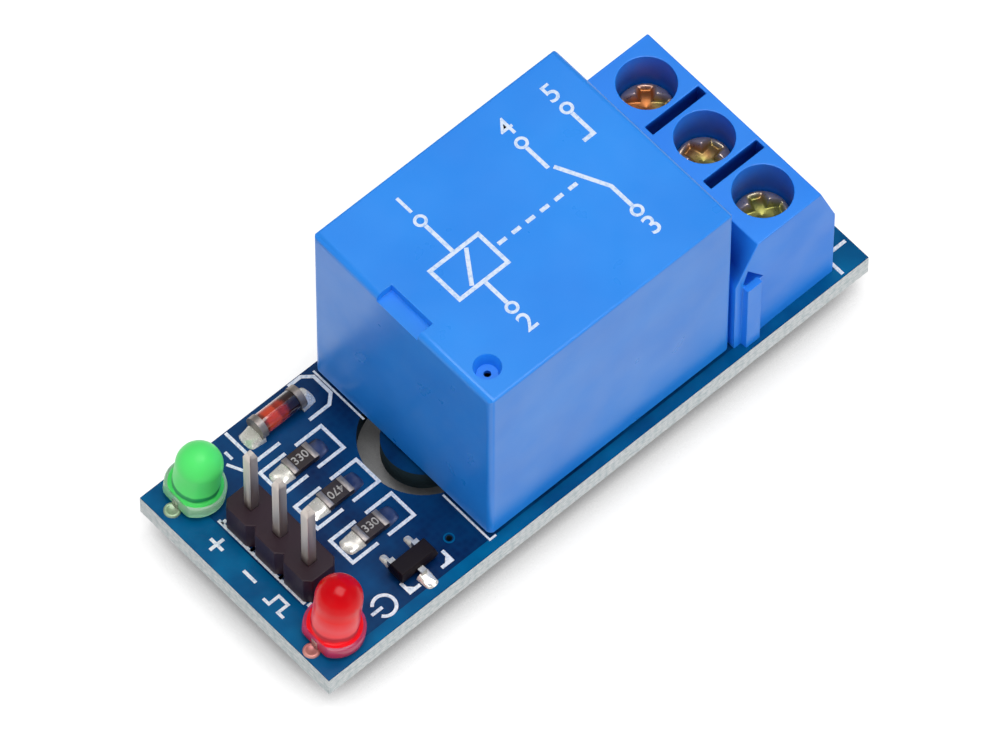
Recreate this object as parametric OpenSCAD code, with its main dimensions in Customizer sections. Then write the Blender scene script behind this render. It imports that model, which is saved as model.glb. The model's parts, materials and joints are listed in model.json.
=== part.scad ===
// Single-channel relay module: a small board with a sealed changeover relay,
// a three-way screw terminal block, a three-pin header, two lamps and their
// surface-mounted driver parts. The signal edge is at -X, the contact edge at +X.

/* [Board] */
// Bare board from the signal edge to the relay
signal_zone = 13.56; // [13.3:0.01:16]
// Gap between the relay and the terminal block
relay_gap = 0.19; // [0.1:0.01:2]
// Bare board from the terminal block to the contact edge
contact_margin = 2.25; // [1:0.05:5]
// Width of the board
board_w = 16.8; // [16.6:0.1:20]
// Thickness of the board
board_t = 1.6; // [1:0.1:2]
// Length of the relay's and terminal block's pins below the board
tail_l = 1.7; // [1.5:0.1:2.5]
// Gap between a pin's corners and its plated hole
hole_gap = 0.1; // [0.05:0.01:0.15]
// Diameter of the bare via hole
via_d = 0.4; // [0.3:0.05:0.6]
// Distance of the via from the signal edge
via_inset = 11.74; // [11.5:0.02:12]
// Distance of the via from the board's centreline
via_y = -5.93; // [-6.5:0.01:-5.5]

/* [Isolation slot] */
// Radius of the slot's centreline about the common pin
slot_r = 3.3; // [3:0.05:3.5]
// Width of the slot
slot_w = 1.4; // [1:0.05:1.6]
// Angle that the slot sweeps
slot_angle = 206; // [160:1:220]

/* [Relay case] */
// Length of the relay
relay_l = 19.3; // [17:0.1:22]
// Width of the relay
relay_w = 15.56; // [13.8:0.1:16]
// Height of the relay above the board
relay_h = 15.46; // [13.9:0.02:18]
// How far the relay sits off the board's centreline
relay_y = 0.24; // [0:0.01:0.3]
// Thickness of the cover's sides
cover_wall = 0.9; // [0.7:0.05:1]
// Thickness of the cover's top
cover_top = 1.1; // [1:0.05:1.15]
// Gap between the cover's rim and the board
rim_gap = 0.3; // [0.2:0.05:0.4]
// Radius of the cover's upright edges
corner_r = 0.4; // [0.2:0.05:0.7]
// Radius along the cover's top at its two ends
end_edge_r = 0.45; // [0.2:0.05:0.7]
// Radius along the cover's top at its two sides
side_edge_r = 0.2; // [0.1:0.05:0.6]
// Length of the notch in the top's front edge
notch_l = 1.19; // [0.8:0.01:1.5]
// Width of the notch
notch_w = 3.57; // [2.5:0.01:4.5]
// Depth of the notch
notch_d = 0.6; // [0.3:0.05:0.8]
// How far the notch sits off the relay's centreline
notch_y = 0.34; // [-0.5:0.01:0.5]
// Diameter of the vent dish at the top
vent_d = 1.75; // [1.4:0.05:2]
// Diameter of the vent dish at its floor
vent_floor_d = 1.3; // [1:0.05:1.35]
// Depth of the vent dish
vent_depth = 0.8; // [0.5:0.05:0.85]
// Diameter of the vent hole
vent_hole_d = 0.46; // [0.3:0.02:0.7]
// Distance of the vent from the relay's front face
vent_inset = 1.58; // [1.4:0.01:2]
// Distance of the vent from the relay's centreline
vent_y = -5.76; // [-6:0.01:-5]
// Depth of the sealing resin
seal_t = 0.5; // [0.3:0.05:0.8]
// Thickness of the base plate
base_t = 1.4; // [1:0.1:1.6]
// Diameter of the base's feet
foot_d = 1.2; // [0.8:0.1:1.6]
// Distance of the feet from the relay's ends
foot_inset = 6.2; // [5.5:0.1:6.8]
// Distance of the feet from the relay's sides
foot_side_inset = 2; // [1.8:0.1:3]

/* [Relay pins] */
// Distance of the common pin from the relay's front face
com_inset = 1.7; // [1.65:0.01:1.75]
// Distance from the common pin to the coil pins
coil_pin_step = 2; // [2:0.01:2.1]
// Distance from the contact pins to the relay's rear face
contact_pin_inset = 3.4; // [2.8:0.05:3.6]
// Distance of the paired pins from the relay's sides
pin_side_inset = 1.78; // [1.6:0.05:1.9]
// Thickness of the common pin
com_pin_t = 0.4; // [0.3:0.05:0.45]
// Thickness of the contact pins
contact_pin_t = 0.5; // [0.4:0.05:0.55]
// Width of the common and contact pins
flat_pin_w = 1; // [0.8:0.05:1.1]
// Side of the square coil pins
coil_pin_w = 0.6; // [0.5:0.05:0.7]

/* [Magnet] */
// Thickness of the yoke
yoke_t = 1.2; // [0.9:0.05:1.25]
// Core's diameter as a share of the winding's
core_share = 0.42; // [0.35:0.01:0.45]
// Overhang of the core's head
core_head_lip = 1.1; // [0.8:0.05:1.3]
// Thickness of the core's head
core_head_t = 0.65; // [0.5:0.05:0.8]
// Diameter of the riveted end of the core
core_rivet_d = 2.4; // [1.8:0.1:2.8]
// Thickness of the bobbin's flanges
flange_t = 0.8; // [0.6:0.05:0.9]
// Width of bare flange round the winding
flange_rim = 0.25; // [0.1:0.05:0.5]
// Distance from the bobbin to the contacts' axis
bobbin_clear = 1.9; // [1.7:0.05:2.2]
// Overhang of the bobbin's flanges past the winding
flange_side = 0.5; // [0.3:0.05:0.7]
// Thickness of the bobbin's tube
bobbin_wall = 0.55; // [0.4:0.05:0.8]
// Length of the wrapping posts above the bobbin's foot
post_h = 1.3; // [0.8:0.1:2]
// Thickness of the armature
armature_t = 1; // [0.8:0.05:1.1]
// Distance from the armature's end to the contacts' axis
armature_clear = 2.4; // [2:0.05:3]
// Inset of the armature's sides from the yoke's
armature_side = 0.2; // [0:0.05:0.5]
// Angle that the armature turns as it closes
travel_angle = 3; // [2:0.1:3.2]

/* [Contacts] */
// Thickness of the leaf spring
leaf_t = 0.2; // [0.15:0.01:0.25]
// Width of the leaf spring at its root
leaf_w = 7; // [5:0.1:8]
// Width of the leaf spring at its tip
leaf_tip_w = 2.6; // [2.4:0.1:4]
// Length of the leaf spring's leg down the yoke
leaf_leg = 5.2; // [4:0.1:5.5]
// Distance from the contacts' axis to the terminals' plates
contact_setback = 1.05; // [1:0.05:1.3]
// Air over the upper terminal's tongue
roof_gap = 0.25; // [0.15:0.01:0.4]
// Diameter of the contacts
contact_d = 1.8; // [1.4:0.1:2]
// Diameter of the rivet that holds the moving contact
contact_rivet_d = 1; // [0.7:0.1:1.2]
// Thickness of the moving contact's lower face
moving_face_t = 0.45; // [0.3:0.05:0.5]
// Thickness of the moving contact's upper face
moving_back_t = 0.35; // [0.25:0.05:0.4]
// Thickness of the two fixed contacts
fixed_contact_t = 0.35; // [0.25:0.05:0.4]
// Thickness of the terminals' tongues
tongue_t = 0.4; // [0.3:0.05:0.45]
// Width of the terminals' tongues
tongue_w = 2.6; // [2.2:0.1:2.8]
// Thickness of the wall that backs the contact terminals
post_wall_t = 1.1; // [0.8:0.05:1.3]

/* [Header] */
// Distance from the signal edge to the header's pins
header_inset = 3.7; // [3.6:0.05:4]
// Pitch of the header
header_pitch = 2.54; // [2.5:0.01:2.6]
// Width of the header's plastic
header_w = 2.5; // [2.2:0.05:2.6]
// Height of the header's plastic
header_h = 2.5; // [2:0.05:3]
// Chamfer at the corners of each header cell
cell_chamfer = 0.4; // [0.2:0.05:0.6]
// Side of the header's square pins
header_pin_w = 0.64; // [0.6:0.01:0.7]
// Height of the header's pins above the board
header_pin_h = 8.45; // [6:0.05:12]
// Length of the header's pins below the board
header_tail = 1.3; // [1:0.1:1.5]
// Length of the header pins' tapered tips
header_tip = 0.5; // [0.3:0.05:0.8]

/* [Lamps] */
// Distance from the signal edge to the switch lamp
green_inset = 2.59; // [2.4:0.01:2.7]
// Distance of the switch lamp from the board's centreline
green_y = 6.45; // [6.3:0.01:6.48]
// Length of the switch lamp's lens
green_h = 4.6; // [3.8:0.05:6]
// Distance from the signal edge to the power lamp
red_inset = 2.35; // [2.3:0.01:2.6]
// Distance of the power lamp from the board's centreline
red_y = -6.19; // [-6.3:0.01:-5.9]
// Length of the power lamp's lens
red_h = 5.5; // [3.8:0.05:6]
// Diameter of the lens
lens_d = 2.92; // [2.8:0.02:3.1]
// Diameter of the lens's rim
rim_d = 3.85; // [3.6:0.05:3.9]
// Thickness of the lens's rim
rim_t = 1; // [0.9:0.05:1.3]
// Width cut from the rim on the side of the short lead
rim_flat = 0.2; // [0.1:0.05:0.3]
// Height of the lens's rim above the board
lens_gap = 0.3; // [0.2:0.05:0.5]
// Angle that the signal lamp leans at
green_lean = 6.5; // [0:0.5:6.5]
// Angle that the power lamp leans at
red_lean = 5; // [0:0.5:6.5]
// Direction that the lamps lean in, from +X
lean_direction = -42; // [-180:1:180]
// Side of the lamps' square leads
lead_w = 0.5; // [0.4:0.01:0.52]
// Pitch of the lamps' leads
lead_pitch = 2.54; // [2.5:0.01:2.6]
// Length of the lamps' leads below the board
lead_tail = 1.2; // [1:0.1:1.5]

/* [Surface-mounted parts] */
// Distance from the signal edge to the resistors
resistor_inset = 8.7; // [8.6:0.05:8.8]
// Distance of the middle resistor from the board's centreline
resistor_y = 0.75; // [0.7:0.01:0.8]
// Distance between resistors
resistor_pitch = 3.12; // [2.9:0.01:3.15]
// Length of a resistor
resistor_l = 2; // [1.9:0.05:2.1]
// Width of a resistor
resistor_w = 1.25; // [1.1:0.05:1.4]
// Height of a resistor
resistor_h = 0.5; // [0.4:0.05:0.65]
// Length of a resistor's end cap
resistor_cap_l = 0.4; // [0.3:0.05:0.5]
// Thickness of a resistor's end cap
resistor_cap_t = 0.05; // [0.04:0.01:0.1]
// Length of a resistor's solder at the signal side
solder_near_l = 1.15; // [0.6:0.05:1.3]
// Length of a resistor's solder at the relay side
solder_far_l = 0.9; // [0.6:0.05:1]
// Distance from the signal edge to the diode
diode_inset = 9.65; // [9.5:0.05:9.75]
// Distance of the diode from the board's centreline
diode_y = 7; // [6.9:0.05:7.1]
// Length of the diode
diode_l = 3.5; // [3.3:0.05:3.6]
// Diameter of the diode's end caps
diode_cap_d = 1.55; // [1.4:0.05:1.6]
// Length of the diode's end caps
diode_cap_l = 0.45; // [0.3:0.05:0.5]
// Diameter of the diode's glass
glass_d = 1.4; // [1.2:0.05:1.55]
// Diameter of the studs inside the glass
stud_d = 0.7; // [0.5:0.05:0.8]
// Thickness of the diode's chip
die_t = 0.25; // [0.15:0.05:0.3]
// Distance from the signal edge to the transistor
transistor_inset = 8.9; // [8.8:0.05:9]
// Distance of the transistor from the board's centreline
transistor_y = -5.9; // [-6:0.05:-5.8]
// Length of the transistor's body
transistor_l = 2.9; // [2.8:0.05:3.1]
// Width of the transistor's body
transistor_w = 1.3; // [1.2:0.05:1.4]
// Height of the transistor's body
transistor_h = 1; // [0.9:0.05:1.1]
// Height of the transistor's body above the board
transistor_gap = 0.1; // [0.05:0.01:0.15]
// Span over the transistor's leads
transistor_span = 2.4; // [2.2:0.05:2.6]
// Distance between the paired leads
transistor_pitch = 1.9; // [1.8:0.05:2]
// Width of the transistor's leads
transistor_lead_w = 0.42; // [0.35:0.01:0.5]
// Thickness of the transistor's leads
transistor_lead_t = 0.13; // [0.1:0.01:0.16]

/* [Terminal block] */
// Depth of the terminal block from the relay side to the wire side
block_d = 8.1; // [8:0.05:9]
// Height of the terminal block
block_h = 10.1; // [9.9:0.05:12]
// Pitch of the poles
pole_pitch = 5.08; // [5:0.01:5.3]
// How far the terminal block sits off the board's centreline
block_y = -0.04; // [-0.1:0.01:0.1]
// Height at which the back starts to slope
back_knee = 6.9; // [6.5:0.05:7.5]
// Depth taken off the top by the back slope
back_slope = 1.7; // [1:0.05:2]
// Height at which the wire side starts to slope
front_knee = 6.5; // [6.2:0.05:7.5]
// Depth taken off the top by the slope over the wires
front_slope = 1.25; // [0.8:0.05:1.4]
// Distance from the block's back to the screws
screw_inset = 4.45; // [4.4:0.05:4.6]
// Length of the slots between the poles
divider_l = 4.3; // [3:0.05:4.6]
// Width of the slots between the poles
divider_w = 0.72; // [0.5:0.02:0.8]
// Depth of the slots between the poles
divider_d = 3; // [1.5:0.1:3]
// Width of the wire entries
entry_w = 3.4; // [3:0.05:3.6]
// Height of the wire entries
entry_h = 3.4; // [3:0.05:3.5]
// Height of the wire entries' sill above the board
entry_sill = 1.4; // [1.2:0.05:1.6]
// Width of the flare round a wire entry
flare = 0.45; // [0.2:0.05:0.5]
// Distance from the block's back to the joining rail
rail_inset = 0.6; // [0.5:0.05:0.8]
// Width of the joining rail
rail_w = 1.15; // [0.8:0.05:1.3]
// Height of the joining rail
rail_h = 6.4; // [5:0.1:6.5]
// How far the joining rail stands out
rail_t = 0.45; // [0.3:0.05:0.5]
// Depth of the pocket over the joining rail
pocket_d = 0.9; // [0.5:0.05:1]

/* [Terminal clamps] */
// Width of a clamp frame
frame_w = 3.8; // [3.7:0.05:3.9]
// Length of a clamp frame along the wire
frame_l = 3.6; // [3.4:0.05:3.7]
// Height of a clamp frame
frame_h = 5.1; // [5:0.05:5.15]
// Height of a clamp frame above the board
frame_gap = 0.9; // [0.85:0.05:0.95]
// Thickness of a clamp frame's sides
frame_side_t = 0.55; // [0.5:0.01:0.57]
// Thickness of a clamp frame's floor
frame_floor_t = 0.7; // [0.6:0.05:0.75]
// Thickness of a clamp frame's threaded top
frame_top_t = 1.4; // [1:0.05:1.45]
// Side of a clamp frame's square pin
frame_pin_w = 0.9; // [0.8:0.05:1]
// Distance from the screw's axis back to the pin
pin_setback = 0.8; // [0.5:0.05:1]
// Diameter of a terminal screw's shank
screw_d = 2.4; // [2.2:0.05:2.45]
// Diameter of a terminal screw's head
screw_head_d = 3.44; // [3.2:0.02:3.5]
// Height of a terminal screw's head
screw_head_h = 1.3; // [1:0.05:1.35]
// Clearance round a terminal screw's head in its bore
head_gap = 0.13; // [0.1:0.01:0.2]
// Air under the head of a closed screw
head_air = 0.3; // [0.2:0.05:0.5]
// Height that a terminal screw lifts by as it opens
screw_travel = 2; // [1.5:0.1:2.2]
// Width of the cross recess in a screw
recess_w = 0.6; // [0.4:0.05:0.8]
// Length of the cross recess in a screw
recess_l = 2.5; // [2:0.05:2.8]
// Depth of the cross recess in a screw
recess_d = 0.7; // [0.4:0.05:0.9]
// Thickness of a wire guard
guard_t = 0.3; // [0.2:0.02:0.32]
// Width of a wire guard's front lip
guard_lip_w = 3; // [2.6:0.05:3.4]
// Height of a closed wire guard over the frame's floor
guard_rest = 0.4; // [0.3:0.05:0.5]

/* [Solder] */
// Radius of the widest solder pads
pad_r = 1.15; // [1:0.05:1.2]
// Length of pin that stands out of its solder
bare_tip = 0.35; // [0.2:0.05:0.5]

/* [Fits] */
// Clearance between parts that are pushed or cast together
seat_gap = 0.02; // [0.01:0.01:0.04]
// Clearance between parts that only lie next to each other
loose_gap = 0.1; // [0.05:0.01:0.12]
// Air left between closed faces that move
air_gap = 0.05; // [0.03:0.01:0.06]

/* [Hidden] */
$fn = 48;

eps = 0.01;
board_l = signal_zone + relay_l + relay_gap + block_d + contact_margin;
board_top = tail_l + board_t;
edge_x = -board_l / 2;
relay_x = edge_x + signal_zone;
block_x = relay_x + relay_l + relay_gap;

// Places along the relay, from its front face
coil_pin_x = com_inset + coil_pin_step;
contact_pin_x = relay_l - contact_pin_inset;
pin_span = relay_w - 2 * pin_side_inset;
plate_x = contact_pin_x - contact_pin_t / 2;
contact_x = plate_x - contact_setback;
yoke_x = com_inset + com_pin_t / 2;
contact_step = contact_x - yoke_x;
flange_start = yoke_x + yoke_t + loose_gap;
flange_end = contact_x - bobbin_clear;
core_x = (flange_start + flange_end) / 2;
coil_d = flange_end - flange_start - 2 * flange_rim;
yoke_w = coil_d;
flange_w = coil_d + 2 * flange_side;
armature_w = yoke_w - 2 * armature_side;
core_d = coil_d * core_share;
core_head_d = core_d + 2 * core_head_lip;
tube_d = core_d + 2 * seat_gap + 2 * bobbin_wall;
armature_l = contact_step - armature_clear;

// Heights inside the relay, from the board's top: the base up to the coil
seal_top = rim_gap + seal_t;
base_top = seal_top + base_t;
yoke_floor = base_top + yoke_t;
// Then from the cover's roof down: the upper contact, the open armature, and its pivot,
// which is the yoke's outer top edge
cover_roof = relay_h - cover_top;
nc_face = cover_roof - roof_gap - tongue_t - fixed_contact_t;
contact_reach = contact_step + contact_d / 2;
moving_top = armature_t + leaf_t + moving_back_t;
pivot_z = nc_face - air_gap - contact_reach * sin(travel_angle) - moving_top * cos(travel_angle);
yoke_top = pivot_z - air_gap;
core_top = yoke_top - air_gap;
bobbin_top = core_top - core_head_t;
coil_h = bobbin_top - yoke_floor - 2 * flange_t;
leaf_z = pivot_z + armature_t;
no_face = leaf_z - moving_face_t - air_gap;

// Terminal block, from its back and from the board's top
block_l = 3 * pole_pitch;
frame_top = frame_gap + frame_h;
frame_back = screw_inset - frame_l / 2;
frame_front = screw_inset + frame_l / 2;
chamber_top = frame_top + loose_gap;
chamber_front = frame_front + air_gap + guard_t + loose_gap;
guard_z = frame_gap + frame_floor_t + guard_rest;
guard_top = guard_z + guard_t;
frame_inner_w = frame_w - 2 * frame_side_t;
screw_top = frame_top + head_air + screw_head_h;

function hole_d(a, b) = norm([a, b]) + 2 * hole_gap;
function pole_y(i) = block_y + (i - 2) * pole_pitch;
function header_y(i) = (i - 2) * header_pitch;
function resistor_row(i) = resistor_y + (2 - i) * resistor_pitch;

module block(lo, hi) translate(lo) cube(hi - lo);
module on_board(inset, y) translate([edge_x + inset, y, board_top]) children();
module in_relay() translate([relay_x, relay_y, board_top]) children();
module in_block(i) translate([block_x, pole_y(i), board_top]) children();
// Turns a part that is drawn closed to the open position that it rests in
module opened() {
    translate([yoke_x, 0, pivot_z]) rotate([0, -travel_angle, 0])
        translate([-yoke_x, 0, -pivot_z]) children();
}
module leaning(angle) {
    translate([0, 0, lens_gap]) rotate([0, 0, lean_direction]) rotate([0, angle, 0])
        rotate([0, 0, -lean_direction]) children();
}
// Lifts a profile drawn in X and Z, and one drawn in Y and Z, to a width about its middle
module along_y(w) rotate([90, 0, 0]) linear_extrude(w, center = true) children();
module along_x(l) rotate([90, 0, 90]) linear_extrude(l) children();

// Upright pin of a rectangular section, from z0 to z1, with both ends tapered
module tapered_pin(l, w, z0, z1, tip) {
    intersection() {
        along_y(w) tapered_outline(l, z0, z1, tip);
        translate([-l / 2, 0, 0]) along_x(l) tapered_outline(w, z0, z1, tip);
    }
}
module tapered_outline(w, z0, z1, tip) {
    polygon([
        [-w / 4, z0], [w / 4, z0], [w / 2, z0 + tip], [w / 2, z1 - tip],
        [w / 4, z1], [-w / 4, z1], [-w / 2, z1 - tip], [-w / 2, z0 + tip]
    ]);
}

// ---- Board ----

module slot_cut() {
    start = 180 - slot_angle / 2;
    rotate([0, 0, start]) rotate_extrude(angle = slot_angle, $fn = 96)
        translate([slot_r - slot_w / 2, -board_t - eps]) square([slot_w, board_t + 2 * eps]);
    for (a = [start, start + slot_angle]) rotate([0, 0, a]) translate([slot_r, 0, 0]) drill(slot_w);
}
module drill(d) translate([0, 0, -board_t - eps]) cylinder(d = d, h = board_t + 2 * eps);

module pcb() {
    color("midnightblue") difference() {
        translate([0, 0, board_top - board_t / 2]) cube([board_l, board_w, board_t], center = true);
        in_relay() translate([com_inset, 0, 0]) slot_cut();
        at_relay_pins() drill(hole_d($pin_l, $pin_w));
        at_header_pins() drill(hole_d($pin_l, $pin_w));
        at_lamp_leads() drill(hole_d($pin_l, $pin_w));
        at_frame_pins() drill(hole_d($pin_l, $pin_w));
        on_board(via_inset, via_y) drill(via_d);
    }
}

module at_relay_pin(x, y) in_relay() translate([x, y, 0]) children();
// Each of these puts its children at every pin of one kind, with the pin's section
module at_relay_pins() {
    at_relay_pin(com_inset, 0) with_pin(com_pin_t, flat_pin_w) children();
    for (y = [-pin_span / 2, pin_span / 2]) {
        at_relay_pin(coil_pin_x, y) with_pin(coil_pin_w, coil_pin_w) children();
        at_relay_pin(contact_pin_x, y) with_pin(contact_pin_t, flat_pin_w) children();
    }
}
module at_header_pins() {
    for (i = [1:3]) on_board(header_inset, header_y(i)) with_pin(header_pin_w, header_pin_w) children();
}
module at_lamp_leads() {
    for (side = [-1, 1]) {
        on_board(green_inset + side * lead_pitch / 2, green_y) with_pin(lead_w, lead_w) children();
        on_board(red_inset + side * lead_pitch / 2, red_y) with_pin(lead_w, lead_w) children();
    }
}
module at_frame_pins() {
    for (i = [1:3]) in_block(i) translate([screw_inset - pin_setback, 0, 0])
        with_pin(frame_pin_w, frame_pin_w) children();
}
module with_pin(l, w) {
    $pin_l = l;
    $pin_w = w;
    children();
}

// ---- Solder ----

// Fills the plated hole and rises in a cone along the pin under the board
module solder_joint(tail) {
    hole_r = hole_d($pin_l, $pin_w) / 2;
    tip_r = norm([$pin_l, $pin_w]) / 2 + seat_gap;
    foot_r = min(pad_r, hole_r + 0.45);
    cone_h = tail - bare_tip;
    difference() {
        translate([0, 0, -board_t]) rotate_extrude() polygon([
            [0, -cone_h], [tip_r, -cone_h], [(tip_r + foot_r) / 2, -cone_h / 3], [foot_r, 0],
            [hole_r - seat_gap, 0], [hole_r - seat_gap, board_t], [0, board_t]
        ]);
        translate([0, 0, -board_t / 2]) cube([$pin_l, $pin_w, board_t + 2 * tail], center = true);
    }
}
// Wedge of solder that runs down from the end of a part over its pad, towards +X
module solder_wedge(l, w, h) {
    film = 0.06;
    along_y(w) polygon([[0, 0], [l, 0], [l, film], [l * 0.7, film * 2.5], [l * 0.3, h * 0.45], [0, h]]);
}

module relay_solder() color("silver") at_relay_pins() solder_joint(tail_l);
module terminal_solder() color("silver") at_frame_pins() solder_joint(tail_l);
module header_solder() color("silver") at_header_pins() solder_joint(header_tail);
module led_solder() color("silver") at_lamp_leads() solder_joint(lead_tail);
module smd_solder() {
    resistor_rise = resistor_h * 0.8;
    diode_rise = diode_cap_d * 0.55;
    lead_rise = transistor_lead_t * 1.5;
    color("silver") {
        for (i = [1:3]) on_board(resistor_inset, resistor_row(i)) {
            translate([resistor_l / 2, 0, 0]) solder_wedge(solder_far_l, resistor_w, resistor_rise);
            translate([-resistor_l / 2, 0, 0]) rotate([0, 0, 180])
                solder_wedge(solder_near_l, resistor_w, resistor_rise);
        }
        for (turn = [0, 180]) on_board(diode_inset, diode_y) rotate([0, 0, turn])
            translate([diode_l / 2, 0, 0]) solder_wedge(solder_far_l, diode_cap_d, diode_rise);
        at_transistor_leads() translate([transistor_span / 2, 0, 0])
            solder_wedge(transistor_lead_w, transistor_lead_w * 1.4, lead_rise);
    }
}

// ---- Header ----

module header_housing() {
    half_w = header_w / 2;
    half_p = header_pitch / 2;
    color("#2a2024") difference() {
        for (i = [1:3]) on_board(header_inset, header_y(i)) linear_extrude(header_h) polygon([
            [-half_w, cell_chamfer - half_p], [cell_chamfer - half_w, -half_p],
            [half_w - cell_chamfer, -half_p], [half_w, cell_chamfer - half_p],
            [half_w, half_p - cell_chamfer], [half_w - cell_chamfer, half_p],
            [cell_chamfer - half_w, half_p], [-half_w, half_p - cell_chamfer]
        ]);
        at_header_pins() translate([0, 0, header_h / 2])
            cube([$pin_l, $pin_w, header_h + eps], center = true);
    }
}
module header_pin(i) {
    foot = -board_t - header_tail;
    color("goldenrod") on_board(header_inset, header_y(i))
        tapered_pin(header_pin_w, header_pin_w, foot, header_pin_h, header_tip);
}

// ---- Lamps ----

module lamp_lens(h, lean) {
    lens_r = lens_d / 2;
    difference() {
        leaning(lean) {
            difference() {
                cylinder(d = rim_d, h = rim_t);
                block([-rim_d, -rim_d, -eps], [rim_flat - rim_d / 2, rim_d, rim_t + eps]);
            }
            cylinder(r = lens_r, h = h - lens_r);
            translate([0, 0, h - lens_r]) sphere(r = lens_r);
        }
        lamp_leads();
    }
}
// The short lead carries the chip on its anvil, the long one the bond post
module lamp_leads() {
    outer = (lead_pitch + lead_w) / 2;
    inner = (lead_pitch - lead_w) / 2;
    foot = -board_t - lead_tail;
    shelf = lens_gap + rim_t * 0.55;
    neck = lens_d / 4;
    anvil_top = shelf + 1.2;
    cup_d = 0.3;
    along_y(lead_w) {
        polygon([
            [-outer, foot], [-inner, foot], [-inner, shelf - lead_w / 2], [-lead_w / 3, shelf],
            [-lead_w / 3, anvil_top], [-neck / 2, anvil_top - cup_d], [-neck, anvil_top],
            [-neck, shelf + lead_w / 2], [-outer, shelf]
        ]);
        polygon([
            [inner, foot], [outer, foot], [outer, shelf], [neck, shelf + lead_w / 2],
            [neck, anvil_top], [neck / 2, anvil_top], [neck / 2, shelf], [inner, shelf - lead_w / 2]
        ]);
    }
}
module green_led_lens() color("lightgreen") on_board(green_inset, green_y) lamp_lens(green_h, green_lean);
module green_led_leads() color("silver") on_board(green_inset, green_y) lamp_leads();
module red_led_lens() color("crimson") on_board(red_inset, red_y) lamp_lens(red_h, red_lean);
module red_led_leads() color("silver") on_board(red_inset, red_y) lamp_leads();

// ---- Surface-mounted parts ----

module resistor_block(l, w, h) translate([-l / 2, -w / 2, 0]) cube([l, w, h]);
// The ceramic under the caps, and the glaze between them
module resistor_body(i) {
    color("black") on_board(resistor_inset, resistor_row(i)) translate([0, 0, resistor_cap_t]) {
        resistor_block(resistor_l - 2 * resistor_cap_t, resistor_w, resistor_h - 2 * resistor_cap_t);
        resistor_block(resistor_l - 2 * resistor_cap_l, resistor_w, resistor_h - resistor_cap_t);
    }
}
module resistor_caps(i) {
    wide = 2 * resistor_w;
    color("silver") on_board(resistor_inset, resistor_row(i)) difference() {
        resistor_block(resistor_l, resistor_w, resistor_h);
        translate([0, 0, -eps]) resistor_block(resistor_l - 2 * resistor_cap_l, wide, resistor_h + 2 * eps);
        translate([0, 0, resistor_cap_t])
            resistor_block(resistor_l - 2 * resistor_cap_t, wide, resistor_h - 2 * resistor_cap_t);
    }
}

// The diode lies along X on its end caps
module in_diode() {
    on_board(diode_inset, diode_y) translate([0, 0, diode_cap_d / 2]) rotate([0, 90, 0]) children();
}
module diode_glass() {
    glass_l = diode_l - 2 * diode_cap_l;
    color("orange", 0.6) in_diode() difference() {
        cylinder(d = glass_d, h = glass_l, center = true);
        cylinder(d = stud_d + 2 * seat_gap, h = glass_l + eps, center = true);
    }
}
module diode_caps() {
    color("silver") in_diode() for (side = [0, 1]) mirror([0, 0, side]) {
        translate([0, 0, diode_l / 2 - diode_cap_l]) cylinder(d = diode_cap_d, h = diode_cap_l);
        translate([0, 0, die_t / 2]) cylinder(d = stud_d, h = diode_l / 2 - die_t / 2 - eps);
    }
}
module diode_die() color("dimgray") in_diode() cube([stud_d / 2, stud_d / 2, die_t], center = true);

// Puts its children at each lead with +X pointing out of the body
module at_transistor_leads() {
    on_board(transistor_inset, transistor_y) {
        rotate([0, 0, -90]) children();
        for (side = [-1, 1]) translate([side * transistor_pitch / 2, 0, 0]) rotate([0, 0, 90]) children();
    }
}
module transistor_lead() {
    t = transistor_lead_t;
    toe = transistor_span / 2;
    wall = transistor_w / 2;
    arm = transistor_gap + transistor_h / 2;
    heel = (toe + wall) / 2 + t / 2;
    along_y(transistor_lead_w) polygon([
        [wall * 0.4, arm - t / 2], [heel - t, arm - t / 2], [heel - t / 2, 0], [toe, 0],
        [toe, t], [heel + t / 2, t], [heel, arm + t / 2], [wall * 0.4, arm + t / 2]
    ]);
}
module transistor_body() {
    draft = transistor_h * 0.12;
    color("black") difference() {
        on_board(transistor_inset, transistor_y) translate([0, 0, transistor_gap]) intersection() {
            along_y(transistor_w) moulded_outline(transistor_l, transistor_h, draft);
            translate([-transistor_l / 2, 0, 0]) along_x(transistor_l)
                moulded_outline(transistor_w, transistor_h, draft);
        }
        at_transistor_leads() transistor_lead();
    }
}
// Outline with a parting line at mid height and both halves drafted
module moulded_outline(w, h, draft) {
    polygon([
        [draft - w / 2, 0], [w / 2 - draft, 0], [w / 2, h / 2], [w / 2 - draft, h],
        [draft - w / 2, h], [-w / 2, h / 2]
    ]);
}
module transistor_leads() color("silver") at_transistor_leads() transistor_lead();

// ---- Relay case ----

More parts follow.
